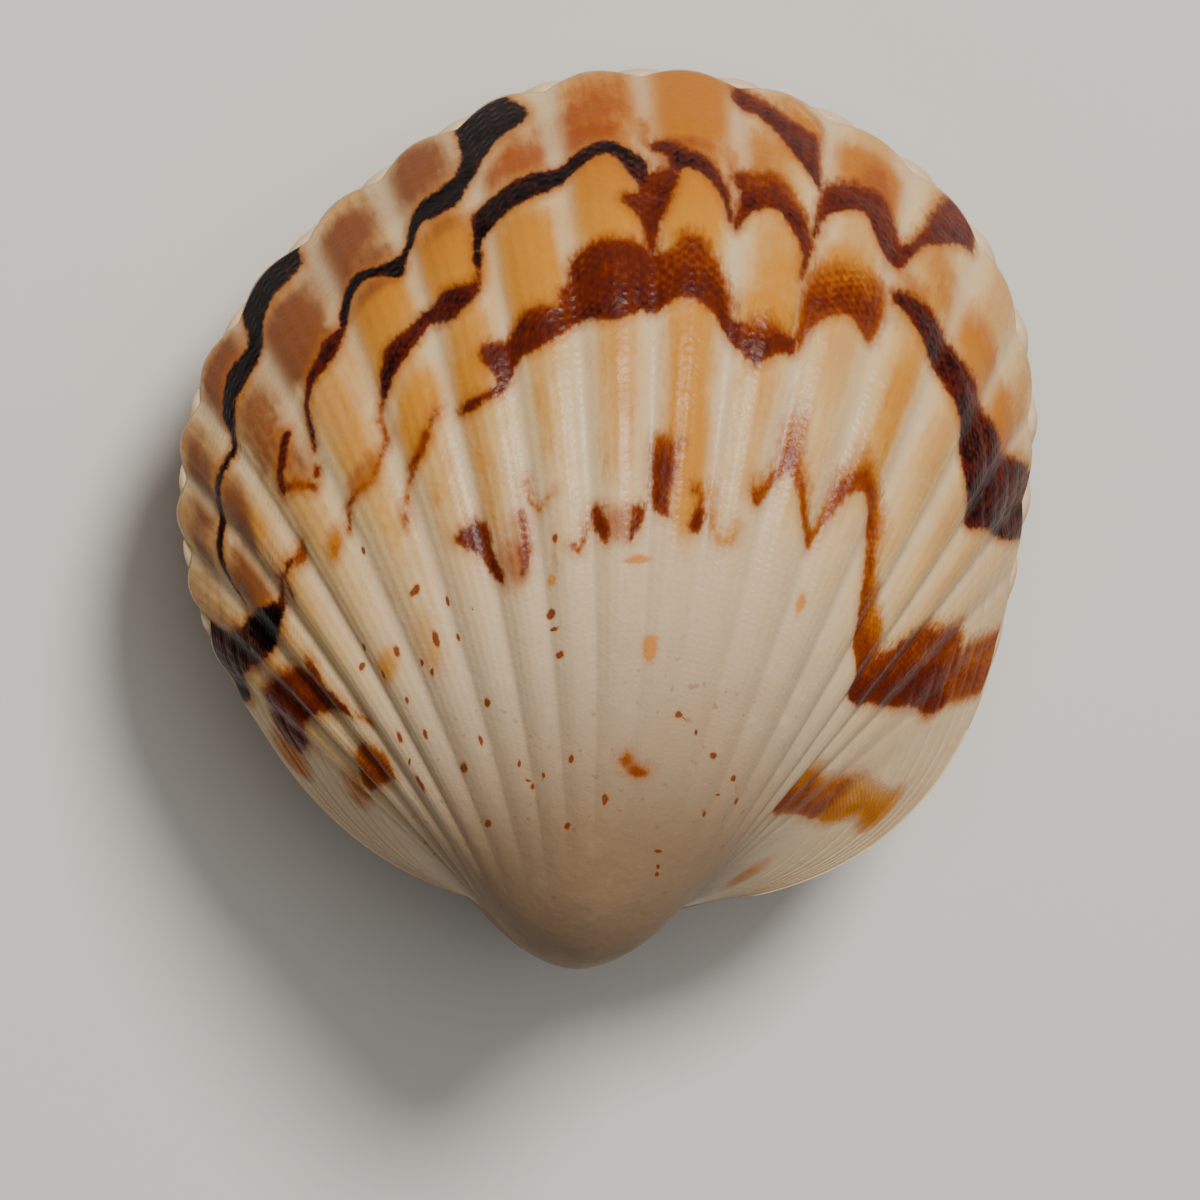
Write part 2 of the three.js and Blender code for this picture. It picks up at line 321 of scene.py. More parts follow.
def ring_mesh(name, rings, flip):
    """A closed mesh through rings of equally many points, with a point in the middle of both ends."""
    count = len(rings[0])
    points = np.concatenate(rings + [rings[0].mean(0)[None], rings[-1].mean(0)[None]])
    here = np.arange(count)
    after = (here + 1) % count
    faces = []
    for i in range(len(rings) - 1):
        a, b = i * count, (i + 1) * count
        faces.append(np.stack([a + here, b + here, b + after, a + after], 1))
    quads = np.concatenate(faces)
    last = (len(rings) - 1) * count
    first_cap = np.stack([np.full(count, len(points) - 2), here, after], 1)
    last_cap = np.stack([np.full(count, len(points) - 1), last + after, last + here], 1)
    caps = np.concatenate([first_cap, last_cap])
    if flip:
        quads, caps = quads[:, ::-1], caps[:, ::-1]
    mesh = bpy.data.meshes.new(name)
    mesh.vertices.add(len(points))
    mesh.vertices.foreach_set("co", to_row(points).astype(np.float32).ravel())
    mesh.loops.add(quads.size + caps.size)
    mesh.loops.foreach_set("vertex_index", np.concatenate([quads.ravel(), caps.ravel()]).astype(np.int32))
    mesh.polygons.add(len(quads) + len(caps))
    starts = np.concatenate([np.arange(len(quads)) * 4, quads.size + np.arange(len(caps)) * 3])
    mesh.polygons.foreach_set("loop_start", starts.astype(np.int32))
    mesh.polygons.foreach_set("use_smooth", np.ones(len(starts), bool))
    mesh.update(calc_edges=True)
    mesh.validate()
    return mesh


def new_object(name, data):
    """An object of the scene."""
    thing = bpy.data.objects.new(name, data)
    bpy.context.scene.collection.objects.link(thing)
    return thing


def add_attribute(mesh, name, values):
    values = np.asarray(values, np.float32)
    kind = "FLOAT" if values.ndim == 1 else "FLOAT_VECTOR"
    attribute = mesh.attributes.new(name, kind, "POINT")
    attribute.data.foreach_set("value" if values.ndim == 1 else "vector", values.ravel())


def valve(name, side):
    rings, skin_rings = valve_rings(side)
    if side < 0:
        rings = [ring * np.array([1, 1, -1]) + LOWER_SHIFT for ring in rings]
    mesh = ring_mesh(name, rings, flip=side < 0)
    inner = len(rings) - skin_rings
    skin_turns = np.repeat(TURNS_DEG[::-1], len(RIBS))
    turns = np.concatenate([skin_turns, np.zeros(inner * len(RIBS)), [BEAK_TURN_DEG, 0]])
    ribs = np.concatenate([np.tile(RIBS, len(rings)), [0, 0]])
    inside = np.concatenate([np.zeros(skin_rings * len(RIBS)), np.ones(inner * len(RIBS)), [0, 1]])
    return new_object(name, mesh), ribs, turns, inside


# Dark markings, as rib and growth turn in degrees. The first number is how dark: 0 is pale tan, then ochre,
# orange-brown, red-brown and maroon, and 1 is black. Every list goes round the outline of one marking.
BLOCKS = [
    # black blot on the edge, and the line that runs down from it over ribs 2 and 3
    (1, [(2.02, -2), (2.03, 1.2), (2.05, 3), (2.17, 4.4), (2.37, 4.9), (2.5, 5), (2.67, 5), (2.78, 5.2),
        (2.88, 5.8), (2.98, 6.8), (3.08, 7.3), (3.25, 7.5), (3.5, 7.1), (3.65, 6.6), (3.78, 6.5),
        (3.92, 6.9), (4.03, 7.4), (4.1, 7.9), (4.15, 8.6), (4.05, 9.2), (4, 8.6), (3.9, 8), (3.8, 7.6),
        (3.62, 7.6), (3.5, 7.8), (3.35, 8.4), (3.2, 9.1), (3.1, 8.9), (3.04, 7.8), (2.95, 7.4), (2.87, 7.2),
        (2.75, 6.6), (2.65, 6.6), (2.5, 7), (2.37, 6.9), (2.22, 6.9), (2.07, 5.5), (1.92, 4.7), (1.8, 4.3),
        (1.6, 3.6), (1.3, 3), (1.2, 2.2), (1.22, 1.2), (1.35, 0.6), (1.5, -2)]),
    (0.85, [(4.12, 8.2), (4.2, 8.9), (4.37, 8.8), (4.47, 9.4), (4.65, 9.9), (4.83, 10.1), (4.93, 10.8),
        (5.05, 11.5), (5.13, 12.7), (5.2, 13.8), (5.24, 14.6), (5.12, 14), (5.05, 13.2), (4.98, 11.9),
        (4.85, 11.2), (4.7, 10.9), (4.5, 10.9), (4.3, 10.6), (4.2, 9.9), (4.05, 9)]),
    # outermost dark line
    (1, [(4.1, -2), (4.2, 1.9), (4.35, 2.2), (4.5, 2.5), (4.65, 2.4), (4.82, 2.7), (4.95, 2.9), (5.07, 3.8),
        (5.2, 4.4), (5.4, 5), (5.55, 5.3), (5.72, 5.4), (5.87, 5.8), (6.03, 6.3), (6.2, 7.1), (6.43, 6.9),
        (6.6, 6.9), (6.77, 7), (7, 7.1), (7.2, 7.4), (7.45, 7.9), (7.6, 8.7), (7.75, 9.6), (7.9, 10.6),
        (8.05, 10.5), (7.87, 9.4), (7.75, 8.2), (7.57, 7.2), (7.35, 6.7), (7.15, 6.2), (7, 5.8), (6.87, 6),
        (6.72, 6), (6.5, 6.1), (6.3, 6.3), (6.15, 5.8), (6.1, 4.9), (6.1, 4.2), (5.97, 3.8), (5.83, 3.5),
        (5.6, 2.9), (5.35, 2.9), (5.25, 2.4), (5.2, 1.5), (5.05, -2)]),
    # line inside the golden edge, from the middle to rib 2
    (0.95, [(0.02, 7.6), (0.15, 7.3), (0.33, 6.6), (0.45, 6.3), (0.58, 6.4), (0.75, 6.6), (0.9, 7), (1, 7.2),
        (1.15, 7.3), (1.35, 7.3), (1.57, 7.5), (1.77, 7.6), (1.97, 7.6), (2.12, 7.9), (2.15, 9.2),
        (2.2, 10.6), (2.23, 12), (2.13, 12.1), (2.1, 11), (2.05, 9.9), (1.88, 9.6), (1.73, 9.5), (1.52, 9.3),
        (1.33, 9.2), (1.15, 9), (1.02, 8.6), (0.88, 8.2), (0.71, 7.8), (0.53, 7.4), (0.4, 7.6), (0.31, 8.2),
        (0.22, 9.2), (0.1, 9.9), (-0.02, 10)]),
    # funnel between the two arches at the top
    (0.72, [(0.1, 9.2), (0.16, 10.3), (0.3, 10.4), (0.37, 10.8), (0.28, 11.4), (0.15, 12), (0.1, 13),
        (0.08, 14.6), (-0.05, 14.6), (-0.06, 13), (-0.1, 12.3), (-0.2, 11.3), (-0.28, 10.2), (-0.33, 8.8),
        (-0.15, 8.4), (0, 8.6)]),
    (0.8, [(0.02, 6.4), (-0.12, 6.2), (-0.25, 6.3), (-0.35, 6.9), (-0.5, 7.3), (-0.65, 7.6), (-0.8, 8.5),
        (-0.87, 9.4), (-0.95, 10.6), (-0.98, 12), (-0.92, 12), (-0.86, 10.8), (-0.75, 9.8), (-0.65, 9.3),
        (-0.5, 8.8), (-0.38, 8.6), (-0.3, 9), (-0.2, 8.4), (-0.2, 7.4), (-0.05, 7.2)]),
    (0.72, [(-0.9, 8.2), (-1, 7.7), (-1.12, 7.8), (-1.25, 7.5), (-1.38, 7.6), (-1.5, 7.9), (-1.63, 8.8),
        (-1.75, 9.3), (-1.85, 10.1), (-1.95, 10.9), (-1.97, 12), (-1.88, 14.2), (-1.83, 14.2), (-1.83, 12.2),
        (-1.65, 11.3), (-1.5, 10.5), (-1.4, 10.3), (-1.22, 10.6), (-1.1, 11.3), (-1.02, 12.2), (-0.95, 12.4),
        (-0.98, 11), (-1.03, 9.6)]),
    # stroke at the edge, right of the middle
    (0.76, [(-0.9, 0.9), (-0.98, -0.5), (-1.15, 0.6), (-1.3, 1.2), (-1.45, 2), (-1.6, 2.3), (-1.75, 2.5),
        (-1.87, 2.2), (-1.9, 3.5), (-1.94, 5.5), (-1.99, 7.2), (-1.9, 7), (-1.75, 6.2), (-1.6, 5.5),
        (-1.45, 4.6), (-1.35, 3.7), (-1.2, 2.7), (-1, 2.1)]),
    (0.25, [(-1.5, 0.4), (-1.7, 0.8), (-1.87, 1.2), (-1.88, 2.5), (-1.7, 2.7), (-1.5, 2.2)]),
    # arch over rib -3
    (0.76, [(-1.98, 7.2), (-2.03, 6.1), (-2.2, 5.4), (-2.4, 5.2), (-2.55, 4.8), (-2.68, 4.9), (-2.85, 5.6),
        (-2.92, 6.4), (-3, 7.2), (-3.13, 6.6), (-3.22, 4.8), (-3.27, 3.2), (-3.32, 1.5), (-3.37, 0.6),
        (-3.5, -0.5), (-3.85, -0.5), (-3.97, 1.4), (-3.9, 1.8), (-3.75, 2.7), (-3.6, 3.9), (-3.5, 4.8),
        (-3.3, 6), (-3.2, 7.4), (-3.12, 9.2), (-3.02, 9.3), (-2.88, 9.3), (-2.75, 9.2), (-2.62, 8.2),
        (-2.5, 7.5), (-2.35, 7.6), (-2.2, 8.2), (-2.05, 8.9), (-2, 10.6), (-1.93, 11), (-1.93, 9)]),
    # brown field over rib -3 and the long dark band down the right side
    (0.57, [(-1.95, 13.5), (-2.1, 12.6), (-2.35, 11.9), (-2.6, 11.6), (-2.8, 11.4), (-2.95, 11),
        (-3.04, 12.6), (-3.03, 13.8), (-2.97, 15.4), (-2.85, 15.6), (-2.7, 15.2), (-2.52, 15), (-2.4, 15.2),
        (-2.27, 15.8), (-2.13, 16.6), (-2.03, 17.9), (-1.97, 18.9), (-1.9, 17)]),
    (0.84, [(-3.02, 11.3), (-3.1, 10.8), (-3.35, 10.3), (-3.55, 10.3), (-3.78, 10.2), (-3.97, 10.1),
        (-4.25, 10.3), (-4.6, 10), (-4.95, 9.6), (-5.33, 8.5), (-5.6, 8), (-5.85, 7), (-6.1, 4.5),
        (-6.3, 2.6), (-6.55, 0.4), (-6.9, -1.5), (-7.45, -1.5), (-7.47, 0.5), (-7.2, 4.6), (-6.83, 7.9),
        (-6.45, 10.6), (-6.2, 13), (-6.05, 13.6), (-5.55, 14.5), (-5.3, 14.3), (-5, 13.6), (-4.7, 13.3),
        (-4.35, 13.2), (-4, 12.9), (-3.85, 13), (-3.55, 12.6), (-3.28, 12), (-3.1, 11.9)]),
    # chain of maroon blocks across the middle
    (0.71, [(1.07, 14.6), (1.03, 13.9), (0.85, 13.5), (0.7, 13.3), (0.4, 13.4), (0.1, 13.7), (-0.04, 14.6),
        (-0.08, 16), (-0.06, 18), (0.05, 18.1), (0.15, 17.9), (0.3, 18.2), (0.5, 18.6), (0.7, 18.3),
        (0.85, 17.9), (1.05, 18.1), (1.25, 18.5), (1.47, 18.8), (1.65, 18.9), (1.83, 18.7), (1.97, 19.2),
        (2.1, 20.1), (2.27, 20.4), (2.55, 20.3), (2.72, 20.4), (2.98, 19.8), (2.9, 19.5), (2.68, 19.5),
        (2.4, 19.8), (2.22, 19.5), (2.25, 19), (2.35, 18.4), (2.42, 17.6), (2.43, 17.1), (2.33, 16.8),
        (2.12, 17.1), (1.98, 17.2), (1.9, 16.8), (1.77, 16.3), (1.6, 16.2), (1.42, 16.4), (1.25, 16.7),
        (1.2, 15.7), (1.1, 15.6)]),
    (0.68, [(0.08, 14.6), (-0.02, 14.2), (-0.1, 14.3), (-0.22, 14.2), (-0.32, 13.4), (-0.42, 13),
        (-0.57, 13.2), (-0.7, 14.1), (-0.82, 15), (-0.95, 16.2), (-1.05, 16.9), (-1.02, 17.8), (-1.12, 17.9),
        (-1.3, 17.8), (-1.47, 17.4), (-1.65, 17.6), (-1.83, 17.9), (-1.93, 17.3), (-1.98, 18.2),
        (-1.95, 18.9), (-1.73, 19.2), (-1.6, 19.7), (-1.48, 20.2), (-1.38, 20.8), (-1.3, 20.2),
        (-1.13, 19.7), (-0.97, 19), (-0.83, 18.1), (-0.65, 17.6), (-0.45, 17.2), (-0.27, 17.3),
        (-0.15, 17.8), (0, 18.1), (0.1, 17.8), (0.1, 16)]),
    # dark red stroke left of the golden patches
    (0.82, [(2.15, 11.8), (2.25, 12.2), (2.3, 12.8), (2.45, 12.5), (2.6, 12.2), (2.73, 12.1), (2.9, 12.4),
        (3.07, 12.2), (3.17, 12.5), (3.33, 12.9), (3.5, 12.8), (3.68, 13), (3.82, 13.8), (3.92, 14.5),
        (4.02, 15.5), (3.93, 15.9), (3.85, 15.6), (3.73, 15.1), (3.6, 14.8), (3.45, 14.6), (3.33, 14.3),
        (3.2, 14), (3.07, 13.4), (2.98, 13.3), (2.87, 13.8), (2.73, 14.2), (2.6, 14.3), (2.45, 14.1),
        (2.32, 13.8), (2.2, 13.4)]),
    # blocks nearer the middle of the valve
    (0.62, [(-0.01, 25.5), (-0.2, 25.5), (-0.5, 26), (-0.41, 26.3), (-0.4, 28.3), (-0.33, 29.6),
        (-0.31, 30.4), (-0.38, 31.1), (-0.22, 31), (-0.04, 30.3), (0, 28.9), (0, 27.1)]),
    (0.6, [(-0.6, 28.5), (-0.93, 28.6), (-0.97, 29.6), (-0.99, 31.2), (-0.95, 31.9), (-0.72, 32),
        (-0.65, 31.4), (-0.77, 30.6), (-0.8, 29.7), (-0.68, 29.1)]),
    (0.62, [(0.05, 29.9), (0.1, 30), (0.25, 30.1), (0.33, 30.2), (0.34, 31.6), (0.38, 32.5), (0.3, 32.7),
        (0.13, 31.8), (0.05, 30.8)]),
    (0.64, [(1.03, 29.7), (0.92, 29.6), (0.77, 29.8), (0.72, 30.8), (0.65, 31.8), (0.72, 32.7), (0.82, 32.3),
        (1, 31.2)]),
    (0.7, [(3.6, 27.2), (3.3, 26.9), (3.07, 26.7), (2.95, 27.3), (2.84, 28.1), (2.88, 29.6), (2.78, 31.3),
        (2.73, 32.4), (2.83, 32.7), (3, 31.5), (3.1, 30.4), (3.15, 29.5), (3.3, 28.8)]),
    (0.58, [(2.33, 28.2), (2.2, 28), (2.13, 28.4), (2.15, 30.2), (2.12, 31.4), (2.22, 31.9), (2.33, 33),
        (2.46, 32.7), (2.35, 31.9), (2.42, 30.8), (2.25, 29.8), (2.3, 29)]),
    # zigzag and the brown block it runs into on the right
    (0.5, [(-1.63, 27.4), (-1.75, 27.6), (-1.9, 26.9), (-2.03, 25.8), (-2.06, 24.6), (-2.1, 22.8),
        (-2.25, 22.6), (-2.3, 24.2), (-2.42, 25.2), (-2.55, 26), (-2.65, 26.9), (-2.75, 28), (-2.95, 28.5),
        (-3, 27.5), (-3.02, 26), (-3.04, 25.1), (-3.1, 23.8), (-3.3, 23), (-3.35, 21.9), (-3.55, 22.1),
        (-3.85, 22.7), (-4.05, 23.1), (-4.2, 24.3), (-4.25, 25.2), (-4.35, 26.3), (-4.5, 27), (-4.75, 27.2),
        (-5, 27.3), (-5.23, 27.3), (-5.6, 27.6), (-6.1, 27.2), (-6.3, 29), (-6, 31.6), (-5.5, 32),
        (-5.15, 31.6), (-4.8, 31), (-4.55, 30.3), (-4.42, 29.5), (-4.3, 28.3), (-4.15, 26.9), (-4.03, 25.9),
        (-3.92, 25.2), (-3.75, 24.4), (-3.55, 23.9), (-3.42, 24.3), (-3.3, 25.2), (-3.2, 26.7), (-3.1, 28),
        (-3, 30.1), (-2.93, 29.9), (-2.75, 29), (-2.6, 28.1), (-2.42, 26.9), (-2.27, 26), (-2.18, 26.1),
        (-2.05, 27.2), (-1.92, 28.6), (-1.85, 29.1), (-1.7, 28.8)]),
    (0.66, [(-5.2, 30.5), (-5.5, 31.6), (-5.72, 32.6), (-6.05, 32.7), (-6.8, 30), (-7.2, 27.1),
        (-8.08, 22.7), (-8.72, 17.2), (-9.35, 13.7), (-9.52, 11), (-9.45, 8.7), (-9.1, 8.4), (-8.6, 9.4),
        (-8.1, 10.5), (-7.85, 11), (-7.75, 12.2), (-7.6, 14), (-7.35, 16.4), (-6.82, 19.1), (-6.63, 21.2),
        (-6.38, 23.4), (-6.3, 25), (-6.03, 27.1), (-5.6, 28.5)]),
    (0.5, [(-8.4, 9.4), (-8.55, 6.8), (-8.75, 3), (-8.85, -2), (-9.85, -2), (-9.75, 3.5), (-9.5, 8.7),
        (-9.3, 10)]),
    # ochre band and mark on the lower right
    (0.46, [(-7, 37), (-7.6, 34.6), (-8.4, 32.5), (-9, 28.3), (-9.77, 22.4), (-10.2, 24), (-10.5, 28.5),
        (-9.3, 35.2), (-8.1, 41.5), (-7.2, 46), (-6.6, 46), (-6.7, 41)]),
    (0.26, [(-9.6, 24), (-9.9, 21.8), (-10.45, 19.4), (-11.2, 13.8), (-11.3, 9.8), (-12, 8), (-12.4, 10),
        (-11.8, 15), (-11.3, 18), (-11.1, 24), (-10.5, 28), (-10, 30)]),
    (0.2, [(-11.2, 36), (-12, 33), (-12.7, 34), (-12.5, 40), (-11.6, 44), (-10.9, 42)]),
    # blocks on the lower left
    (1, [(7.9, 12.2), (7.57, 14.2), (7.35, 15.6), (7.15, 16.6), (7.15, 17.3), (7.4, 17.4), (7.7, 17.1),
        (7.9, 15.6), (8.3, 14.9), (8.45, 13), (8.5, 10.2), (8.3, 9.8)]),
    (0.84, [(8.93, 4), (8.67, 7), (8.35, 9.6), (8.1, 12), (8.34, 14.7), (8.65, 12.6), (9.1, 8.8),
        (9.52, 5.4), (9.9, 4), (10.3, 1.8), (10.35, -2), (9, -2)]),
    (0.66, [(8.2, 17.6), (8.6, 15.2), (9.3, 10.6), (9.5, 9.6), (9.9, 8.2), (10.3, 7.4), (10.7, 7),
        (10.9, 8.8), (10.7, 11), (10.15, 15), (9.4, 17), (8.9, 19.6), (8.45, 22), (7.97, 25.3), (7.75, 26.2),
        (7.6, 27.3), (7.45, 29.2), (7.36, 28.6), (7.45, 26.2), (7.5, 24.4), (7.62, 22.6), (7.8, 20.6)]),
    (0.6, [(7.45, 20.9), (7.38, 22.4), (7.5, 24.2), (7.72, 23.2), (7.72, 21.4)]),
    (0.22, [(10.5, 7), (11, 3), (11.6, 2.5), (11.7, 6), (11.2, 9), (10.8, 9.5)]),
    (0.46, [(7.8, 30.2), (7.55, 32), (7.38, 33.6), (7.28, 35.2), (7.36, 36.6), (7.45, 38.2), (7.8, 37),
        (8.3, 34.7), (9, 31.4), (9.4, 29.6), (9.3, 27.4), (8.8, 28), (8.3, 29)]),
    (0.22, [(9.2, 26.6), (9.5, 27.4), (9.9, 27.8), (10.8, 23.4), (11.2, 20.8), (11.1, 19.2), (10.5, 21),
        (9.75, 24)]),
    # small brown patches between the outermost line and the lower left
    (0.5, [(6.05, 17.5), (6.17, 18.7), (6.4, 18.3), (6.43, 17.4), (6.3, 17.1)]),
    (0.3, [(5.4, 20), (5.45, 21), (5.65, 21.6), (5.75, 20.9), (5.6, 19.8)]),
]

# Thin strokes: how dark, width in mm, and the points they pass through
STROKES = [
    (0.85, 0.42, [(5.45, 11.6), (5.62, 12.5), (5.82, 13.3), (5.88, 13.9)]),
    (0.55, 0.26, [(5.85, 14), (5.6, 15.2), (5.42, 16.4)]),
    (0.7, 0.3, [(5.3, 15.5), (5.32, 15.8)]),
    (0.6, 0.14, [(4, 15.7), (4.12, 16.6), (4.1, 17.9)]),
    (0.5, 0.2, [(4.1, 17.9), (4.2, 18.5), (4.36, 19), (4.5, 19.8), (4.72, 19.7), (4.9, 19.4)]),
    (0.66, 0.16, [(4.95, 19.5), (5.1, 19.6), (5.29, 20.9)]),
    (0.55, 0.4, [(3.5, 19.9), (3.68, 20.6), (3.87, 20.9)]),
    (0.66, 0.2, [(3.25, 18.9), (3.45, 19.7), (3.7, 20.6), (3.93, 21.4)]),
    (0.5, 0.13, [(3.98, 21.5), (4.12, 22.3), (4.25, 23.5)]),
    (0.55, 0.24, [(4.25, 23.4), (4.27, 23.9)]),
    (0.4, 0.12, [(2.06, 26.2), (2.05, 27.5), (1.93, 28.6)]),
    (0.4, 0.2, [(1.96, 28.3), (1.9, 28.6)]),
    (0.3, 0.1, [(1.9, 28.5), (1.62, 27.9)]),
    (0.55, 0.2, [(1.03, 30.8), (1.13, 31.6), (1.22, 32.3)]),
    (0.55, 0.26, [(1.35, 32.1), (1.25, 32.5)]),
    (0.3, 0.2, [(-1.03, 28.6), (-1.08, 30.2), (-1.13, 31.2)]),
    (0.22, 0.3, [(-1.2, 31.7), (-1.35, 32.2), (-1.5, 31.6), (-1.52, 30.8)]),
    (0.4, 0.12, [(0.03, 4.6), (0.02, 6.4)]),
    (0.3, 0.1, [(-0.93, 6.6), (-0.92, 7.9)]),
    (0.3, 0.1, [(-1.25, 6.5), (-1.23, 7.6)]),
    (0.85, 0.22, [(6.45, 17.3), (6.75, 17.1), (7, 16.7), (7.25, 16.4)]),
    (0.85, 0.2, [(6.72, 17), (6.82, 18.4)]),
    (0.45, 0.12, [(7.3, 29.3), (7.12, 32)]),
    (0.5, 0.14, [(6.88, 16.2), (6.75, 17.1)]),
]

# Specks on the middle and the umbo: rib, turn, length along the rib and width, in mm
SPECKS = [
    (4.55, 28.6, 0.3, 0.5), (4.03, 31, 0.36, 0.14), (3.55, 33, 0.3, 0.16), (3.68, 33.6, 0.22, 0.14),
    (4.48, 33.2, 0.6, 0.26), (4.05, 34.2, 0.3, 0.14), (5.42, 31.2, 0.4, 0.24), (5.95, 31.4, 0.3, 0.18),
    (5, 34, 0.34, 0.16), (4.84, 35.1, 0.4, 0.22), (3.78, 41.3, 0.34, 0.28), (2.7, 42.7, 0.3, 0.16),
    (2.83, 43.4, 0.26, 0.14), (1.92, 36.6, 0.36, 0.34), (1.8, 40.3, 0.26, 0.32), (5.7, 35.3, 0.24, 0.18),
    (6.45, 36.8, 0.36, 0.22), (5.65, 39.6, 0.36, 0.2), (4.25, 44.6, 0.4, 0.14), (3.3, 46.6, 0.2, 0.16),
    (1.7, 51.2, 0.3, 0.22), (5, 46.2, 0.4, 0.36), (6.65, 42.6, 0.7, 0.22), (3, 52.9, 0.26, 0.22),
    (0.68, 57.3, 0.44, 0.26), (1.95, 60.2, 0.3, 0.24), (1.66, 31.1, 0.34, 0.22), (3.42, 47.2, 0.24, 0.16),
    (-1.1, 47.3, 0.34, 0.26), (-1.65, 48.7, 0.2, 0.14), (-2.35, 50.7, 0.28, 0.26), (-3.3, 52.2, 0.26, 0.26),
    (0.1, 63.5, 0.28, 0.18), (0.15, 66.2, 0.16, 0.3), (-1.5, 65.5, 0.16, 0.3), (-1.8, 70, 0.24, 0.18),
    (-2.8, 58.2, 0.24, 0.16), (-3.9, 54.4, 0.3, 0.22), (4.9, 55, 0.3, 0.3), (2.6, 52, 0.2, 0.16),
    (3.3, 49.4, 0.24, 0.14), (1.1, 59.3, 0.16, 0.26), (6.1, 28, 0.3, 0.26), (6.35, 28.6, 0.26, 0.36),
    (5.2, 22.8, 0.26, 0.16),
]
PALE_SPECKS = [(-0.2, 41.2, 1, 0.5), (-3.2, 33.8, 0.7, 0.3), (1.82, 34, 0.4, 0.3), (0.17, 34, 0.3, 0.8)]
CRESCENT = (0.5, 0.42, [(0.15, 52.2), (0.02, 53.3), (-0.2, 54.1), (-0.42, 53.9)])

# Soft tints: rib, turn, half width in ribs, half length in degrees, strength
GOLD = [
    (-0.42, 3.2, 0.52, 3.8, 1), (-0.75, 1.5, 0.25, 1.5, 0.5), (0.5, 3, 0.42, 3, 0.6),
    (-2.42, 3.6, 0.34, 1.6, 1), (-2.8, 4.2, 0.16, 2.4, 0.6), (-1.35, 4.9, 0.3, 1, 0.4),
    (-1.25, 6.5, 0.3, 1.2, 0.5), (-3.6, 6.6, 0.45, 1.2, 0.5), (1.55, 14, 0.36, 3.2, 1),
    (1.75, 11.6, 0.3, 1.6, 0.5), (0.6, 10.4, 0.36, 2.6, 1), (0.3, 12.6, 0.3, 1, 0.6),
    (-0.45, 11.6, 0.36, 2.4, 0.95), (-1.6, 14.6, 0.34, 3.2, 0.6), (-1.45, 17, 0.4, 0.8, 0.7),
    (2.55, 9.6, 0.42, 2.2, 1), (2.4, 11.8, 0.3, 1.2, 0.8), (2.5, 15.6, 0.3, 1.2, 0.6),
    (2.62, 18.4, 0.25, 1.4, 0.9), (3.62, 10.4, 0.42, 2, 1), (3.9, 12.8, 0.2, 1.6, 0.9),
    (3.4, 17.6, 0.36, 1.5, 0.8), (3.72, 19.4, 0.22, 1.3, 0.7), (4.6, 13.4, 0.42, 2.4, 0.4),
    (4.65, 17.8, 0.3, 1.6, 0.4), (-5.1, 7, 0.8, 1.6, 0.8), (-4.3, 8.6, 0.6, 1, 0.8),
    (-5.9, 4, 0.5, 2.4, 0.5), (-0.5, 22.5, 0.3, 5, 0.75), (0.5, 23, 0.26, 4.5, 0.5), (1.6, 23, 0.16, 3, 0.4),
    (2.75, 24.5, 0.22, 4.5, 0.55), (3.5, 24, 0.3, 4, 0.35), (-1.58, 23, 0.14, 4, 0.4),
    (-3.55, 18, 0.2, 5, 0.6), (-0.62, 28.5, 0.2, 3.4, 0.9), (-0.7, 27, 0.35, 2, 0.6),
    (-4.4, 25.5, 0.3, 2.5, 0.25), (-2.45, 12.2, 0.4, 1.3, 0.9), (-3.3, 10, 0.4, 1.2, 0.4),
    (4.45, 24, 0.3, 4, 0.3), (6.6, 12.6, 0.3, 1.4, 0.5), (5.8, 31.3, 0.3, 1.3, 0.7),
    (4.7, 33, 0.3, 2.5, 0.45), (-2.55, 26.5, 0.3, 2.5, 0.3), (-1.75, 27.6, 0.3, 1.4, 0.3),
    (6.3, 37, 0.25, 1, 0.3),
]
ORANGE = [
    (0.62, 4, 0.4, 1.8, 0.45), (0.62, 5.7, 0.25, 0.7, 0.9), (0.4, 2.4, 0.35, 1.6, 0.35),
    (1.5, 6.2, 0.45, 1, 0.7), (1.25, 4.6, 0.35, 1.4, 0.5), (-2.6, 4.4, 0.2, 1.6, 0.7),
    (-1.8, 2.2, 0.15, 1.3, 0.9), (-0.42, 6.7, 0.3, 0.6, 0.6), (0.56, 31.4, 0.22, 1.4, 0.6),
    (2.5, 31, 0.3, 2.4, 0.55), (4.7, 19, 0.3, 0.9, 0.6), (-2.15, 22.2, 0.2, 1.4, 0.5),
    (-3.3, 22, 0.25, 1.2, 0.3), (5.6, 10.2, 0.28, 2, 0.25), (-1.3, 8.6, 0.25, 0.8, 0.6),
    (1.8, 31, 0.3, 3, 0.25), (-5, 29, 0.4, 1.6, 0.4), (-4.85, 27.4, 0.25, 1, 0.4),
]
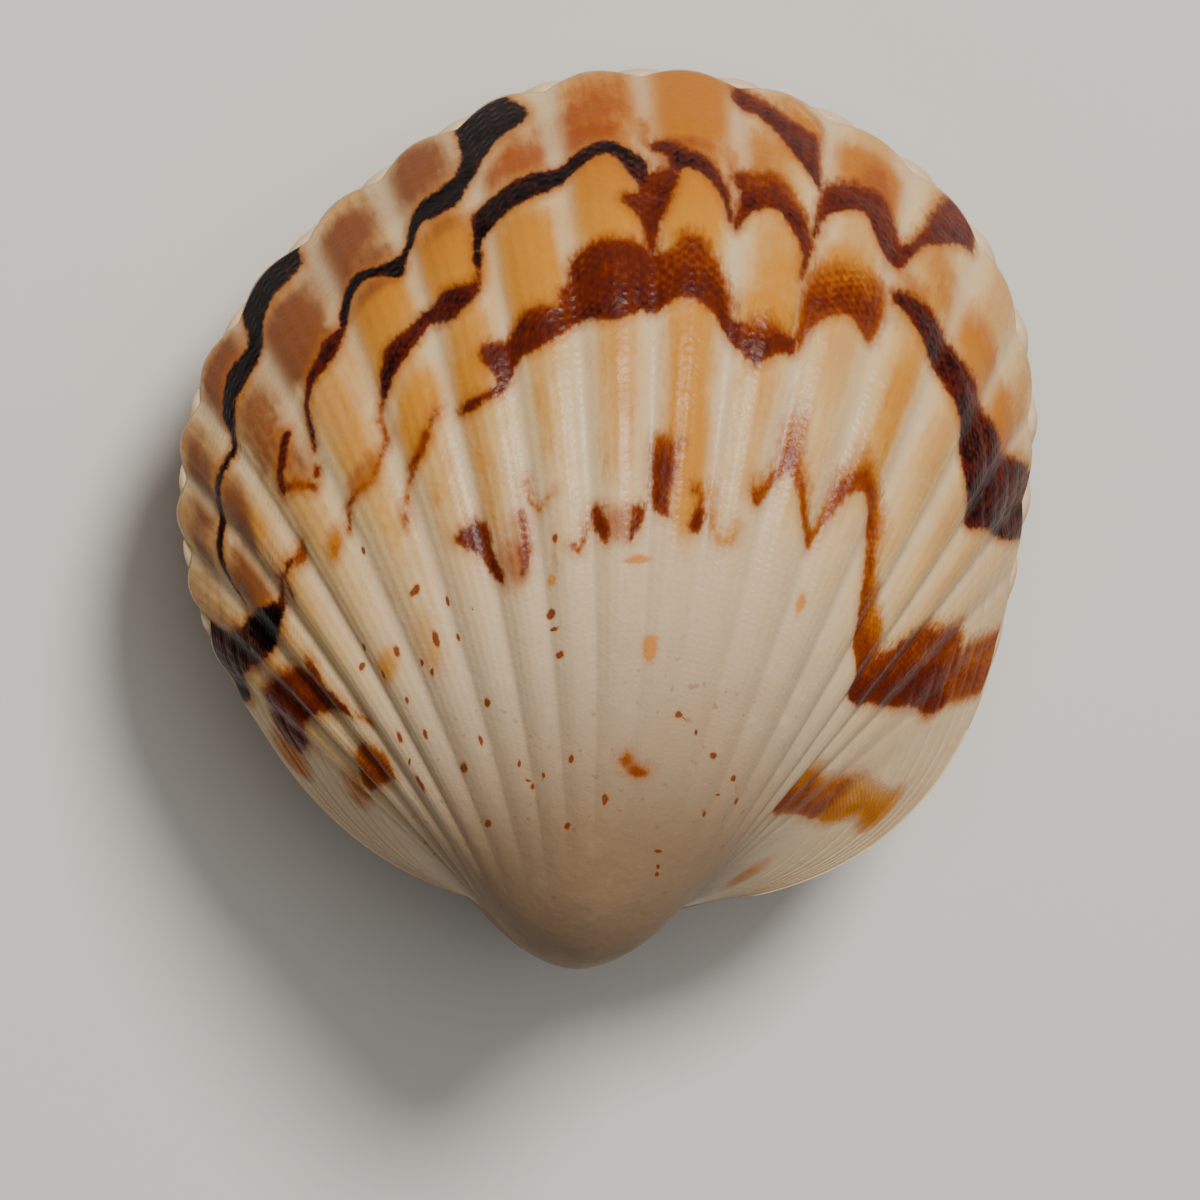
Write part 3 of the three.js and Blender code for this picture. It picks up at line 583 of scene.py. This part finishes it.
PINK = [
    (2.62, 2.4, 0.42, 2.2, 0.9), (3.72, 3.4, 0.42, 2, 0.95), (3.95, 5.8, 0.2, 1.2, 0.9),
    (3.4, 6.6, 0.35, 0.8, 0.6), (4.72, 5.4, 0.38, 1.9, 0.95), (4.7, 8, 0.36, 1.6, 1),
    (4.55, 9.2, 0.3, 0.8, 0.9), (5.8, 2.4, 0.34, 1.8, 1), (5.35, 1.4, 0.2, 1, 0.8),
    (5.62, 8.2, 0.36, 2.4, 0.65), (5.75, 11.6, 0.28, 1.6, 0.5), (5.45, 14, 0.26, 1.4, 0.6),
    (6.9, 3.2, 0.42, 2.4, 0.75), (7.15, 4.4, 0.2, 1.4, 0.8), (6.78, 9.4, 0.34, 2, 0.7),
    (6.9, 11.2, 0.2, 1.4, 0.7), (7.85, 3.8, 0.3, 1.8, 0.7), (7.5, 11.6, 0.36, 2.4, 0.7),
    (7.3, 14, 0.3, 1.6, 0.6), (2.45, 7.9, 0.3, 0.7, 0.4), (3.6, 8.6, 0.3, 0.6, 0.5),
    (-0.15, 7.9, 0.12, 0.6, 0.5), (-0.92, 10, 0.07, 1.4, 0.7), (8.6, 6.5, 0.3, 1.6, 0.3),
    (-3.1, 9.6, 0.3, 0.8, 0.4), (-3, 12.6, 0.25, 0.8, 0.4), (-5.35, 11.3, 0.35, 0.5, 0.5),
]


def rib_angle(rib):
    """Angle in degrees of a rib coordinate, which goes on evenly past the last rib."""
    inner = np.clip(rib, -RIBS_EACH_SIDE, RIBS_EACH_SIDE)
    return valley_angle(inner) + (rib - inner) * END_PITCH_DEG


SCALE_STEP = 0.02


def local_scale(rib, turn_deg):
    """Millimetres of skin for one rib and for one degree of turn, at a place."""
    angle = math.radians(rib_angle(rib))
    turn = math.radians(max(turn_deg, 0))
    here = skin(angle, turn)
    along_rib = skin(math.radians(rib_angle(rib + SCALE_STEP)), turn)
    along_turn = skin(angle, turn + math.radians(SCALE_STEP))
    return np.array([np.linalg.norm(along_rib - here), np.linalg.norm(along_turn - here)]) / SCALE_STEP


def rounded(shape, times=2):
    """The same outline with its corners cut off."""
    for _ in range(times):
        after = np.roll(shape, -1, 0)
        shape = np.stack([0.75 * shape + 0.25 * after, 0.25 * shape + 0.75 * after], 1).reshape(-1, 2)
    return shape


SHORTEST_RUN = 1e-9


def line_distance(points, starts, ends):
    nearest = np.full(len(points), np.inf)
    for a, b in zip(starts, ends):
        run = b - a
        share = np.clip((points - a) @ run / max(run @ run, SHORTEST_RUN), 0, 1)
        gap = points - a - share[:, None] * run
        nearest = np.minimum(nearest, np.hypot(gap[:, 0], gap[:, 1]))
    return nearest


def inside_outline(points, starts, ends):
    inside = np.zeros(len(points), bool)
    for a, b in zip(starts, ends):
        spans = (a[1] > points[:, 1]) != (b[1] > points[:, 1])
        crossing = a[0] + (points[:, 1] - a[1]) * (b[0] - a[0]) / (b[1] - a[1] + TINY)
        level = np.where(spans, crossing, -np.inf)
        inside ^= points[:, 0] < level
    return inside


# Reach of the distance to a marking, how fast its darkness fades outside it, and how deep it counts
MARK_REACH = 1.5
MARK_BLEND = 0.12
MARK_DEPTH = 0.4
FAINT = 1e-6
MIDDLE_DARK = 0.5


def area_distance(points, shape):
    """Distance to a closed outline, negative inside it."""
    ends = np.roll(shape, -1, 0)
    gap = line_distance(points, shape, ends)
    return np.where(inside_outline(points, shape, ends), -gap, gap)


def stroke_distance(width):
    """The measure for a stroke of a width: distance to its side, negative inside it."""
    def distance(points, line):
        return line_distance(points, line[:-1], line[1:]) - width / 2
    return distance


def marking(places, on_skin, outlines, strokes):
    """Distance in mm to the nearest dark marking, negative inside it, and how dark the marking is."""
    distance = np.full(len(places), MARK_REACH)
    weight = np.full(len(places), FAINT)
    dark = weight * MIDDLE_DARK
    areas = [(darkness, area_distance, rounded(np.array(shape, float))) for darkness, shape in outlines]
    lines = [(darkness, stroke_distance(width), np.array(line, float)) for darkness, width, line in strokes]
    for darkness, measure, shape in areas + lines:
        middle = (shape.min(0) + shape.max(0)) / 2
        scale = local_scale(*middle)
        low = shape.min(0) - MARK_REACH / scale
        high = shape.max(0) + MARK_REACH / scale
        near = np.flatnonzero(on_skin & np.all((places > low) & (places < high), axis=1))
        gap = measure(places[near] * scale, shape * scale)
        distance[near] = np.minimum(distance[near], gap)
        share = np.exp(-np.clip(gap, -MARK_DEPTH, MARK_REACH) / MARK_BLEND)
        weight[near] += share
        dark[near] += share * darkness
    return distance, dark / weight


LEAN_ROWS = 3


def lean(distance, rings):
    """1 on the free-edge side of a marking, -1 on its beak side, and in between across its middle."""
    count = len(RIBS)
    grid = distance[:rings * count].reshape(rings, count)
    row = np.arange(rings)
    after = grid[np.minimum(row + LEAN_ROWS, rings - 1)]
    before = grid[np.maximum(row - LEAN_ROWS, 0)]
    across = np.clip((after - before) / (2 * LEAN_ROWS * FINE_ROW), -1, 1)
    return np.concatenate([across.ravel(), np.zeros(len(distance) - across.size)])


TINT_FALL = 0.5
TINT_POWER = 3


def tint(places, patches):
    """How strong a soft tint is at each place, 0 to 1."""
    left = np.ones(len(places))
    for rib, turn, half_rib, half_turn, strength in patches:
        across = np.abs((places[:, 0] - rib) / half_rib)
        along = np.abs((places[:, 1] - turn) / half_turn)
        left *= 1 - strength * np.exp(-TINT_FALL * (across**TINT_POWER + along**TINT_POWER))
    return 1 - left


SPECK_CUTOFF = 1.0
SPECK_MARGIN = 0.35
FAR_FROM_SPECK = 8.0


def speck_offsets(places, on_skin, specks):
    """Offset to the nearest speck, in its half sizes. The third number grows away from specks and between."""
    offsets = np.zeros((len(places), 3))
    nearest = np.full(len(places), SPECK_CUTOFF)
    second = np.full(len(places), SPECK_CUTOFF)
    for rib, turn, length, width in specks:
        gap = (places - (rib, turn)) * local_scale(rib, turn)
        away = np.where(on_skin, np.hypot(gap[:, 0], gap[:, 1]), SPECK_CUTOFF)
        first = away < nearest
        second = np.where(first, nearest, np.minimum(second, away))
        nearest[first] = away[first]
        offsets[first, :2] = gap[first] * (2 / width, 2 / length)
    offsets[:, 2] = FAR_FROM_SPECK * np.clip(1 - (second - nearest) / SPECK_MARGIN, 0, 1)
    return offsets


LOWER_SWAY_DEG = 0.5
LOWER_SWAY_RATE = 1.7


def paint(piece, ribs, turns, inside, side):
    """Stores on the mesh what the material needs to know about each point of the skin."""
    offset = 0.0 if side > 0 else LOWER_RIB_OFFSET
    sway = 0.0 if side > 0 else LOWER_SWAY_DEG
    places = np.column_stack([ribs + offset, turns + sway * np.sin(ribs * LOWER_SWAY_RATE)])
    skin_points = inside < 0.5
    distance, dark = marking(places, skin_points, BLOCKS, STROKES + [CRESCENT])
    fields = {
        "mark": distance,
        "dark": dark,
        "lean": lean(distance, len(TURNS_DEG)),
        "gold": tint(places, GOLD),
        "orange": tint(places, ORANGE),
        "pink": tint(places, PINK),
        "speck": speck_offsets(places, skin_points, SPECKS),
        "pale_speck": speck_offsets(places, skin_points, PALE_SPECKS),
        "rib": rib_phase(ribs) + offset,
        "turn": turns,
        "ribbed": rib_strength(ribs) * (1 - smoothstep(turns, *RIB_WEAR_DEG)),
        "inside": inside,
    }
    for name, values in fields.items():
        add_attribute(piece.data, name, values)


def srgb(red, green, blue):
    """A screen colour, 0 to 255, as the linear colour that a shader takes."""
    def linear(value):
        return ((value / 255 + 0.055) / 1.055) ** 2.4 if value > 10 else value / 255 / 12.92
    return linear(red), linear(green), linear(blue), 1


class Graph:
    """Short names for building a material's nodes."""

    def __init__(self, name):
        self.material = bpy.data.materials.new(name)
        self.material.use_nodes = True
        self.tree = self.material.node_tree
        self.shader = self.tree.nodes["Principled BSDF"]

    def link(self, value, socket):
        if isinstance(value, bpy.types.NodeSocket):
            self.tree.links.new(value, socket)
        else:
            socket.default_value = value

    def node(self, kind, *values, **settings):
        """A new node, with the values in its first inputs."""
        node = self.tree.nodes.new(kind)
        for name, setting in settings.items():
            setattr(node, name, setting)
        for value, socket in zip(values, node.inputs):
            self.link(value, socket)
        return node

    def attribute(self, name, output="Fac"):
        node = self.node("ShaderNodeAttribute", attribute_type="GEOMETRY", attribute_name=name)
        return node.outputs[output]

    def math(self, operation, *values, clamp=False):
        return self.node("ShaderNodeMath", *values, operation=operation, use_clamp=clamp).outputs[0]

    def add(self, total, *values):
        for value in values:
            total = self.math("ADD", total, value)
        return total

    def times(self, first, second):
        return self.math("MULTIPLY", first, second)

    def vector(self, operation, *values, output=0):
        return self.node("ShaderNodeVectorMath", *values, operation=operation).outputs[output]

    def combine(self, x, y):
        return self.node("ShaderNodeCombineXYZ", x, y).outputs[0]

    def object_place(self):
        return self.node("ShaderNodeTexCoord").outputs["Object"]

    def noise(self, place, scale, detail=3.0):
        """Noise moved to lie round zero."""
        node = self.node("ShaderNodeTexNoise", place)
        node.inputs["Scale"].default_value = scale
        node.inputs["Detail"].default_value = detail
        node.inputs["Roughness"].default_value = NOISE_ROUGHNESS
        return self.math("SUBTRACT", node.outputs["Fac"], 0.5)

    def ramp(self, value, low, high, to_low=0.0, to_high=1.0):
        """A smooth step from to_low, where the value is low, to to_high, where it is high."""
        values = (value, low, high, to_low, to_high)
        return self.node("ShaderNodeMapRange", *values, interpolation_type="SMOOTHSTEP").outputs[0]

    def mix(self, share, first, second):
        node = self.node("ShaderNodeMix", share, data_type="RGBA")
        self.link(first, node.inputs[6])
        self.link(second, node.inputs[7])
        return node.outputs[2]

    def colours(self, value, stops):
        node = self.node("ShaderNodeValToRGB", value)
        elements = node.color_ramp.elements
        while len(elements) < len(stops):
            elements.new(0.5)
        for element, (at, colour) in zip(elements, stops):
            element.position = at
            element.color = colour
        return node.outputs[0]

    def bump(self, height, distance):
        node = self.node("ShaderNodeBump")
        node.inputs["Distance"].default_value = distance
        self.link(height, node.inputs["Height"])
        return node.outputs[0]

    def finish(self, inputs):
        """Sets the shader's inputs and gives the material."""
        for name, value in inputs.items():
            self.link(value, self.shader.inputs[name])
        return self.material


# Colours of the shell
VALLEY = srgb(196, 173, 141)
CREST = srgb(205, 164, 96)
OUTER_TAN = srgb(178, 122, 62)
# Grey-brown of the umbo: partly worn shell colour, partly painted shade that darkens the shell towards the
# beak
UMBO_WEAR_AND_SHADE = srgb(132, 108, 83)
BLUSH = srgb(172, 136, 98)
CHALK = srgb(212, 196, 166)
INNER_GOLD = srgb(184, 120, 32)
OUTER_GOLD = srgb(166, 96, 10)
PINK_BROWN = srgb(112, 60, 32)
ORANGE_BROWN = srgb(134, 58, 10)
FRINGE = srgb(148, 82, 22)
SPECK_HALO = srgb(180, 120, 66)
SPECK_COLOURS = [("pale_speck", srgb(188, 122, 58)), ("speck", srgb(112, 50, 14))]
DUST = srgb(120, 84, 52)
INSIDE = srgb(206, 180, 146)
DARK_COLOURS = [(0.0, srgb(192, 134, 72)), (0.15, srgb(170, 106, 32)), (0.3, srgb(146, 78, 10)),
                (0.45, srgb(120, 50, 8)), (0.6, srgb(92, 31, 8)), (0.75, srgb(72, 23, 15)),
                (0.88, srgb(32, 7, 5)), (1.0, srgb(4, 1, 1))]

# Patterns of the shell: noise scales, grain for each rib and degree of turn, and turns where a colour fades
PER_MM = 1000.0
COARSE_SPOTS = 0.35 * PER_MM
MEDIUM_SPOTS = 1.1 * PER_MM
DUST_SPOTS = 2.6 * PER_MM
FINE_SPOTS = 4.0 * PER_MM
NOISE_ROUGHNESS = 0.55
FINE_DETAIL = 4.0
PLAIN_DETAIL = 1.0
BRUSH_RATE = (14.0, 1.1)
STREAK_RATE = (7.0, 0.2)
RING_RATE = 11.0
YOUNG_TURNS = (44.0, 16.0)
OUTER_TURNS = (24.0, 17.0)
UMBO_TURNS = (28.0, 66.0)
GOLD_TURNS = (13.0, 6.0)
FRINGE_TURNS = (34.0, 12.0)
DUST_TURNS = (34.0, 46.0)
SKIN_BUMP = 0.014 * MM
SUBSURFACE_DEPTH = 0.3 * MM


def grain(g, f, rate, detail=3.0):
    """Noise drawn out along the ribs. The rate says how fine it is, for a rib and for a degree of turn."""
    across, along = rate
    return g.noise(g.combine(g.times(f.rib, across), g.times(f.turn, along)), 1.0, detail)


def shell_fields(g):
    """What the shell's colours and surface share: places on it, noises and the weave of threads and rings."""
    f = SimpleNamespace(rib=g.attribute("rib"), turn=g.attribute("turn"), place=g.object_place())
    f.ribbed = g.attribute("ribbed")
    f.coarse = g.noise(f.place, COARSE_SPOTS)
    f.medium = g.noise(f.place, MEDIUM_SPOTS)
    f.fine = g.noise(f.place, FINE_SPOTS, FINE_DETAIL)
    f.brush = grain(g, f, BRUSH_RATE, FINE_DETAIL)
    f.streak = grain(g, f, STREAK_RATE)
    f.threads = g.math("SINE", g.times(f.rib, 2 * math.pi * THREADS_PER_RIB))
    wander = g.add(g.times(f.medium, 9.0), g.times(f.brush, 3.0))
    f.rings = g.math("SINE", g.add(g.times(f.turn, RING_RATE), wander))
    f.grid = g.times(f.threads, f.rings)
    f.crest = g.times(g.math("ABSOLUTE", g.math("SINE", g.times(f.rib, math.pi))), f.ribbed)
    f.umbo = g.ramp(f.turn, *UMBO_TURNS)
    return f


def body_colour(g, f):
    """Greyish white in the valleys, cream on the crests, tan near the edge, and grey-brown on the umbo that
    is partly worn colour and partly painted shade.
    """
    creamy = g.add(g.times(f.crest, 0.75), g.times(f.streak, 0.9), 0.15)
    creamy = g.math("MULTIPLY", creamy, g.ramp(f.turn, *YOUNG_TURNS), clamp=True)
    body = g.mix(creamy, VALLEY, CREST)
    tan = g.ramp(g.add(f.crest, g.times(f.medium, 0.5)), 0.45, 1.05, 0.0, 0.65)
    body = g.mix(g.times(tan, g.ramp(f.turn, *OUTER_TURNS)), body, OUTER_TAN)
    # Worn colour mixed with painted shade: the body turns grey-brown towards the beak
    body = g.mix(g.times(f.umbo, 0.92), body, UMBO_WEAR_AND_SHADE)
    body = g.mix(g.ramp(f.coarse, 0.0, 0.3, 0.0, 0.35), body, BLUSH)
    chalk = g.times(g.ramp(f.medium, 0.02, 0.35, 0.0, 0.3), g.ramp(f.umbo, 0.9, 0.2, 0.3, 1.0))
    return g.mix(chalk, body, CHALK)


def add_tints(g, f, body):
    """Soft gold, pink-brown and orange patches, strongest on the crests."""
    uneven = g.add(g.times(f.medium, 0.4), g.times(f.streak, 0.4), g.times(f.brush, 0.3))
    on_crest = g.ramp(f.crest, 0.05, 0.65, 0.4, 1.0)
    gold = g.mix(g.ramp(f.turn, *GOLD_TURNS), INNER_GOLD, OUTER_GOLD)
    tints = [("gold", 0.0, 0.95, gold), ("pink", 0.0, 0.95, PINK_BROWN), ("orange", 0.05, 0.9, ORANGE_BROWN)]
    for name, start, most, colour in tints:
        share = g.ramp(g.add(g.attribute(name), uneven), start, 0.8, 0.0, most)
        body = g.mix(g.times(share, on_crest), body, colour)
    return body


def add_markings(g, f, body):
    """Dark markings with a warm fringe. Brown ones are feathered on one side, most on the low ribs."""
    dark = g.attribute("dark")
    feather = g.times(g.ramp(g.attribute("lean"), -0.4, 0.8), g.ramp(dark, 0.95, 0.7))
    feather = g.times(feather, g.ramp(f.rib, 1.0, -1.0, 0.3, 1.0))
    ragged = g.times(f.brush, g.add(g.times(feather, 0.8), 0.32))
    gap = g.add(g.attribute("mark"), g.add(ragged, g.times(f.fine, 0.22)))
    fringe = g.ramp(gap, 0.5, -0.05, 0.0, 0.75)
    body = g.mix(g.times(fringe, g.ramp(f.turn, *FRINGE_TURNS, 0.5, 1.0)), body, FRINGE)
    cloud = g.add(g.times(f.medium, 0.4), g.times(f.brush, 0.5))
    cloud = g.times(cloud, g.ramp(dark, 0.25, 0.6, 0.5, 1.0))
    weave = g.times(f.grid, g.ramp(f.coarse, -0.1, 0.2, 0.02, 0.1))
    shade = g.add(dark, g.add(cloud, weave), g.times(feather, -0.2))
    shade = g.math("ADD", shade, g.ramp(gap, -0.35, 0.05, 0.0, -0.12), clamp=True)
    soft = g.add(g.times(feather, 0.22), 0.1)
    return g.mix(g.ramp(gap, soft, g.times(soft, -1.0)), body, g.colours(shade, DARK_COLOURS))


def add_specks(g, f, body):
    """Single specks, each with a soft halo, and a dust of tiny ones on the umbo."""
    for name, colour in SPECK_COLOURS:
        away = g.vector("ADD", g.attribute(name, "Vector"), g.combine(g.times(f.fine, 1.4), f.brush))
        size = g.vector("LENGTH", away, output="Value")
        body = g.mix(g.ramp(size, 1.9, 0.8, 0.0, 0.4), body, SPECK_HALO)
        body = g.mix(g.ramp(size, 1.2, 0.7, 0.0, 0.92), body, colour)
    dust = g.ramp(g.noise(f.place, DUST_SPOTS, PLAIN_DETAIL), 0.19, 0.25)
    return g.mix(g.times(g.times(dust, g.ramp(f.turn, *DUST_TURNS)), 0.4), body, DUST)


def fine_bump(g, f):
    """Growth lines and radial threads as a fine bump over the shape of the mesh itself."""
    weave = g.add(g.times(f.rings, 0.22), g.times(f.threads, 0.2), g.times(f.grid, 0.25))
    weave = g.times(g.times(weave, f.ribbed), g.ramp(f.coarse, -0.15, 0.15, 0.35, 1.0))
    uneven = g.add(g.times(f.fine, 1.4), g.times(f.medium, 2.4))
    return g.bump(g.add(weave, uneven), SKIN_BUMP)


def shell_material():
    g = Graph("shell")
    f = shell_fields(g)
    body = body_colour(g, f)
    for stage in (add_tints, add_markings, add_specks):
        body = stage(g, f, body)
    return g.finish({
        "Base Color": g.mix(g.attribute("inside"), body, INSIDE),
        "Normal": fine_bump(g, f),
        "Roughness": g.add(g.ramp(f.medium, -0.3, 0.3, 0.25, 0.36), g.times(f.umbo, 0.2)),
        "Specular IOR Level": 0.13,
        "Subsurface Weight": 0.05,
        "Subsurface Radius": (1.0, 0.5, 0.3),
        "Subsurface Scale": SUBSURFACE_DEPTH,
    })


# Ligament: fibres wound a little round a spindle, with faint bands, as height, waves and start
LIGAMENT_RINGS = 90
LIGAMENT_FIBRES = 22
POINTS_PER_FIBRE = 12
LOWEST_FIBRE = 0.3
FIBRE_HEIGHT = 0.11
LIGAMENT_CORE = 0.86
LIGAMENT_TWIST = 0.9
LIGAMENT_TAPER = 0.9
LIGAMENT_BANDS = [(0.03, 23, 0.0), (0.02, 57, 1.3)]
LIGAMENT_COLOURS = [(0.2, srgb(30, 16, 9)), (0.5, srgb(66, 38, 20)), (0.85, srgb(120, 78, 44))]
FIBRE_STRETCH = (0.12, 1.0, 1.0)
FIBRE_SPOTS = 14.0 * PER_MM
LIGAMENT_SPOTS = 1.4 * PER_MM
FIBRE_BUMP = 0.03 * MM


def ligament():
    """A spindle of twisted fibres of uneven height, tapering to both ends."""
    around = np.linspace(0, 2 * math.pi, POINTS_PER_FIBRE * LIGAMENT_FIBRES, endpoint=False)
    heights = rng.uniform(LOWEST_FIBRE, 1.0, LIGAMENT_FIBRES)
    rings = []
    for along in np.linspace(-1, 1, LIGAMENT_RINGS)[1:-1]:
        twisted = around + LIGAMENT_TWIST * along
        fibre = (twisted / (2 * math.pi) * LIGAMENT_FIBRES).astype(int) % LIGAMENT_FIBRES
        ridge = np.abs(np.sin(twisted * LIGAMENT_FIBRES / 2)) * heights[fibre]
        bands = sum(height * math.sin(waves * along + start) for height, waves, start in LIGAMENT_BANDS)
        size = math.sqrt(1 - along**2) ** LIGAMENT_TAPER * (LIGAMENT_CORE + bands + FIBRE_HEIGHT * ridge)
        ring = np.column_stack([
            np.full(len(around), along * LIGAMENT_HALF_LENGTH),
            LIGAMENT_HALF_DEPTH * size * np.cos(around),
            LIGAMENT_HALF_HEIGHT * size * np.sin(around),
        ])
        rings.append(ring + np.array(LIGAMENT_CENTRE))
    return new_object("ligament_fibres", ring_mesh("ligament_fibres", rings, flip=False))


def ligament_material():
    g = Graph("ligament")
    place = g.object_place()
    fibres = g.noise(g.vector("MULTIPLY", place, FIBRE_STRETCH), FIBRE_SPOTS, FINE_DETAIL)
    patches = g.noise(place, LIGAMENT_SPOTS)
    tone = g.add(g.times(fibres, 1.2), g.times(patches, 0.8), 0.5)
    return g.finish({
        "Base Color": g.colours(tone, LIGAMENT_COLOURS),
        "Roughness": g.ramp(fibres, -0.3, 0.3, 0.5, 0.75),
        "Normal": g.bump(fibres, FIBRE_BUMP),
    })


cord = ligament()
cord.data.materials.append(ligament_material())
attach(cord, "root")
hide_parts("ligament")

material = shell_material()
for node, side in (("upper_valve", 1), ("lower_valve", -1)):
    piece, ribs, turns, inside = valve(node + "_shell", side)
    paint(piece, ribs, turns, inside, side)
    piece.data.materials.append(material)
    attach(piece, "root")
    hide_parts(node)

# Floor, in metres
FLOOR_REACH = 1.5
FLOOR_COLOUR = srgb(214, 212, 208)
FLOOR_ROUGHNESS = 0.9

floor_mesh = bpy.data.meshes.new("floor")
corners = [(x * FLOOR_REACH, y * FLOOR_REACH, 0) for x, y in ((-1, -1), (1, -1), (1, 1), (-1, 1))]
floor_mesh.from_pydata(corners, [], [(0, 1, 2, 3)])
floor = new_object("floor", floor_mesh)
floor.data.materials.append(Graph("floor").finish({"Base Color": FLOOR_COLOUR, "Roughness": FLOOR_ROUGHNESS}))


def camera_axes():
    """Right, up and back of the camera, in the shell's own frame."""
    yaw, pitch, roll = (math.radians(a) for a in (CAMERA_YAW_DEG, CAMERA_PITCH_DEG, CAMERA_ROLL_DEG))
    back = Vector((math.sin(yaw) * math.cos(pitch), math.sin(pitch), math.cos(yaw) * math.cos(pitch)))
    right = Vector((0, 1, 0)).cross(back).normalized()
    up = back.cross(right)
    level_right = math.cos(roll) * right + math.sin(roll) * up
    level_up = -math.sin(roll) * right + math.cos(roll) * up
    return level_right, level_up, back


def make_camera():
    right, up, back = camera_axes()
    to_row_rotation = REST_TURN.to_matrix()
    aim = CAMERA_TARGET + AIM_RIGHT * right + AIM_UP * up
    place = to_row_rotation @ (aim + CAMERA_DISTANCE * back) * MM + PLACE
    data = bpy.data.cameras.new("camera")
    data.sensor_width = SENSOR
    data.lens = SENSOR * CAMERA_DISTANCE / FRAME_WIDTH
    data.clip_start = CAMERA_CLIP
    camera = new_object("camera", data)
    turned = Matrix([to_row_rotation @ axis for axis in (right, up, back)]).transposed()
    camera.matrix_world = Matrix.Translation(place) @ turned.to_4x4()
    bpy.context.scene.camera = camera


make_camera()

# Disc lights that face the shell: name, direction, distance and size in metres, power in watts and colour
LIGHTS = [
    ("key", (0.22, 0.57, 0.79), 0.5, 0.14, 3.2, (1.0, 0.95, 0.88)),
    ("side", (0.72, 0.36, 0.6), 0.5, 0.3, 0.12, (1.0, 0.96, 0.9)),
    ("soft", (0.02, 0.25, 0.97), 0.7, 0.5, 1.7, (1.0, 0.97, 0.93)),
]
LIGHT_TARGET = Vector((0, 0, 0.008))
WORLD_COLOUR = (0.9, 0.9, 0.9, 1)
WORLD_STRENGTH = 0.06

for name, direction, distance, size, power, colour in LIGHTS:
    data = bpy.data.lights.new(name, "AREA")
    data.shape = "DISK"
    data.size = size
    data.energy = power
    data.color = colour
    light = new_object(name, data)
    away = Vector(direction).normalized()
    light.location = away * distance + LIGHT_TARGET
    light.rotation_euler = away.to_track_quat("Z", "Y").to_euler()

world = bpy.data.worlds.new("world")
world.use_nodes = True
background = world.node_tree.nodes["Background"]
background.inputs["Color"].default_value = WORLD_COLOUR
background.inputs["Strength"].default_value = WORLD_STRENGTH
bpy.context.scene.world = world
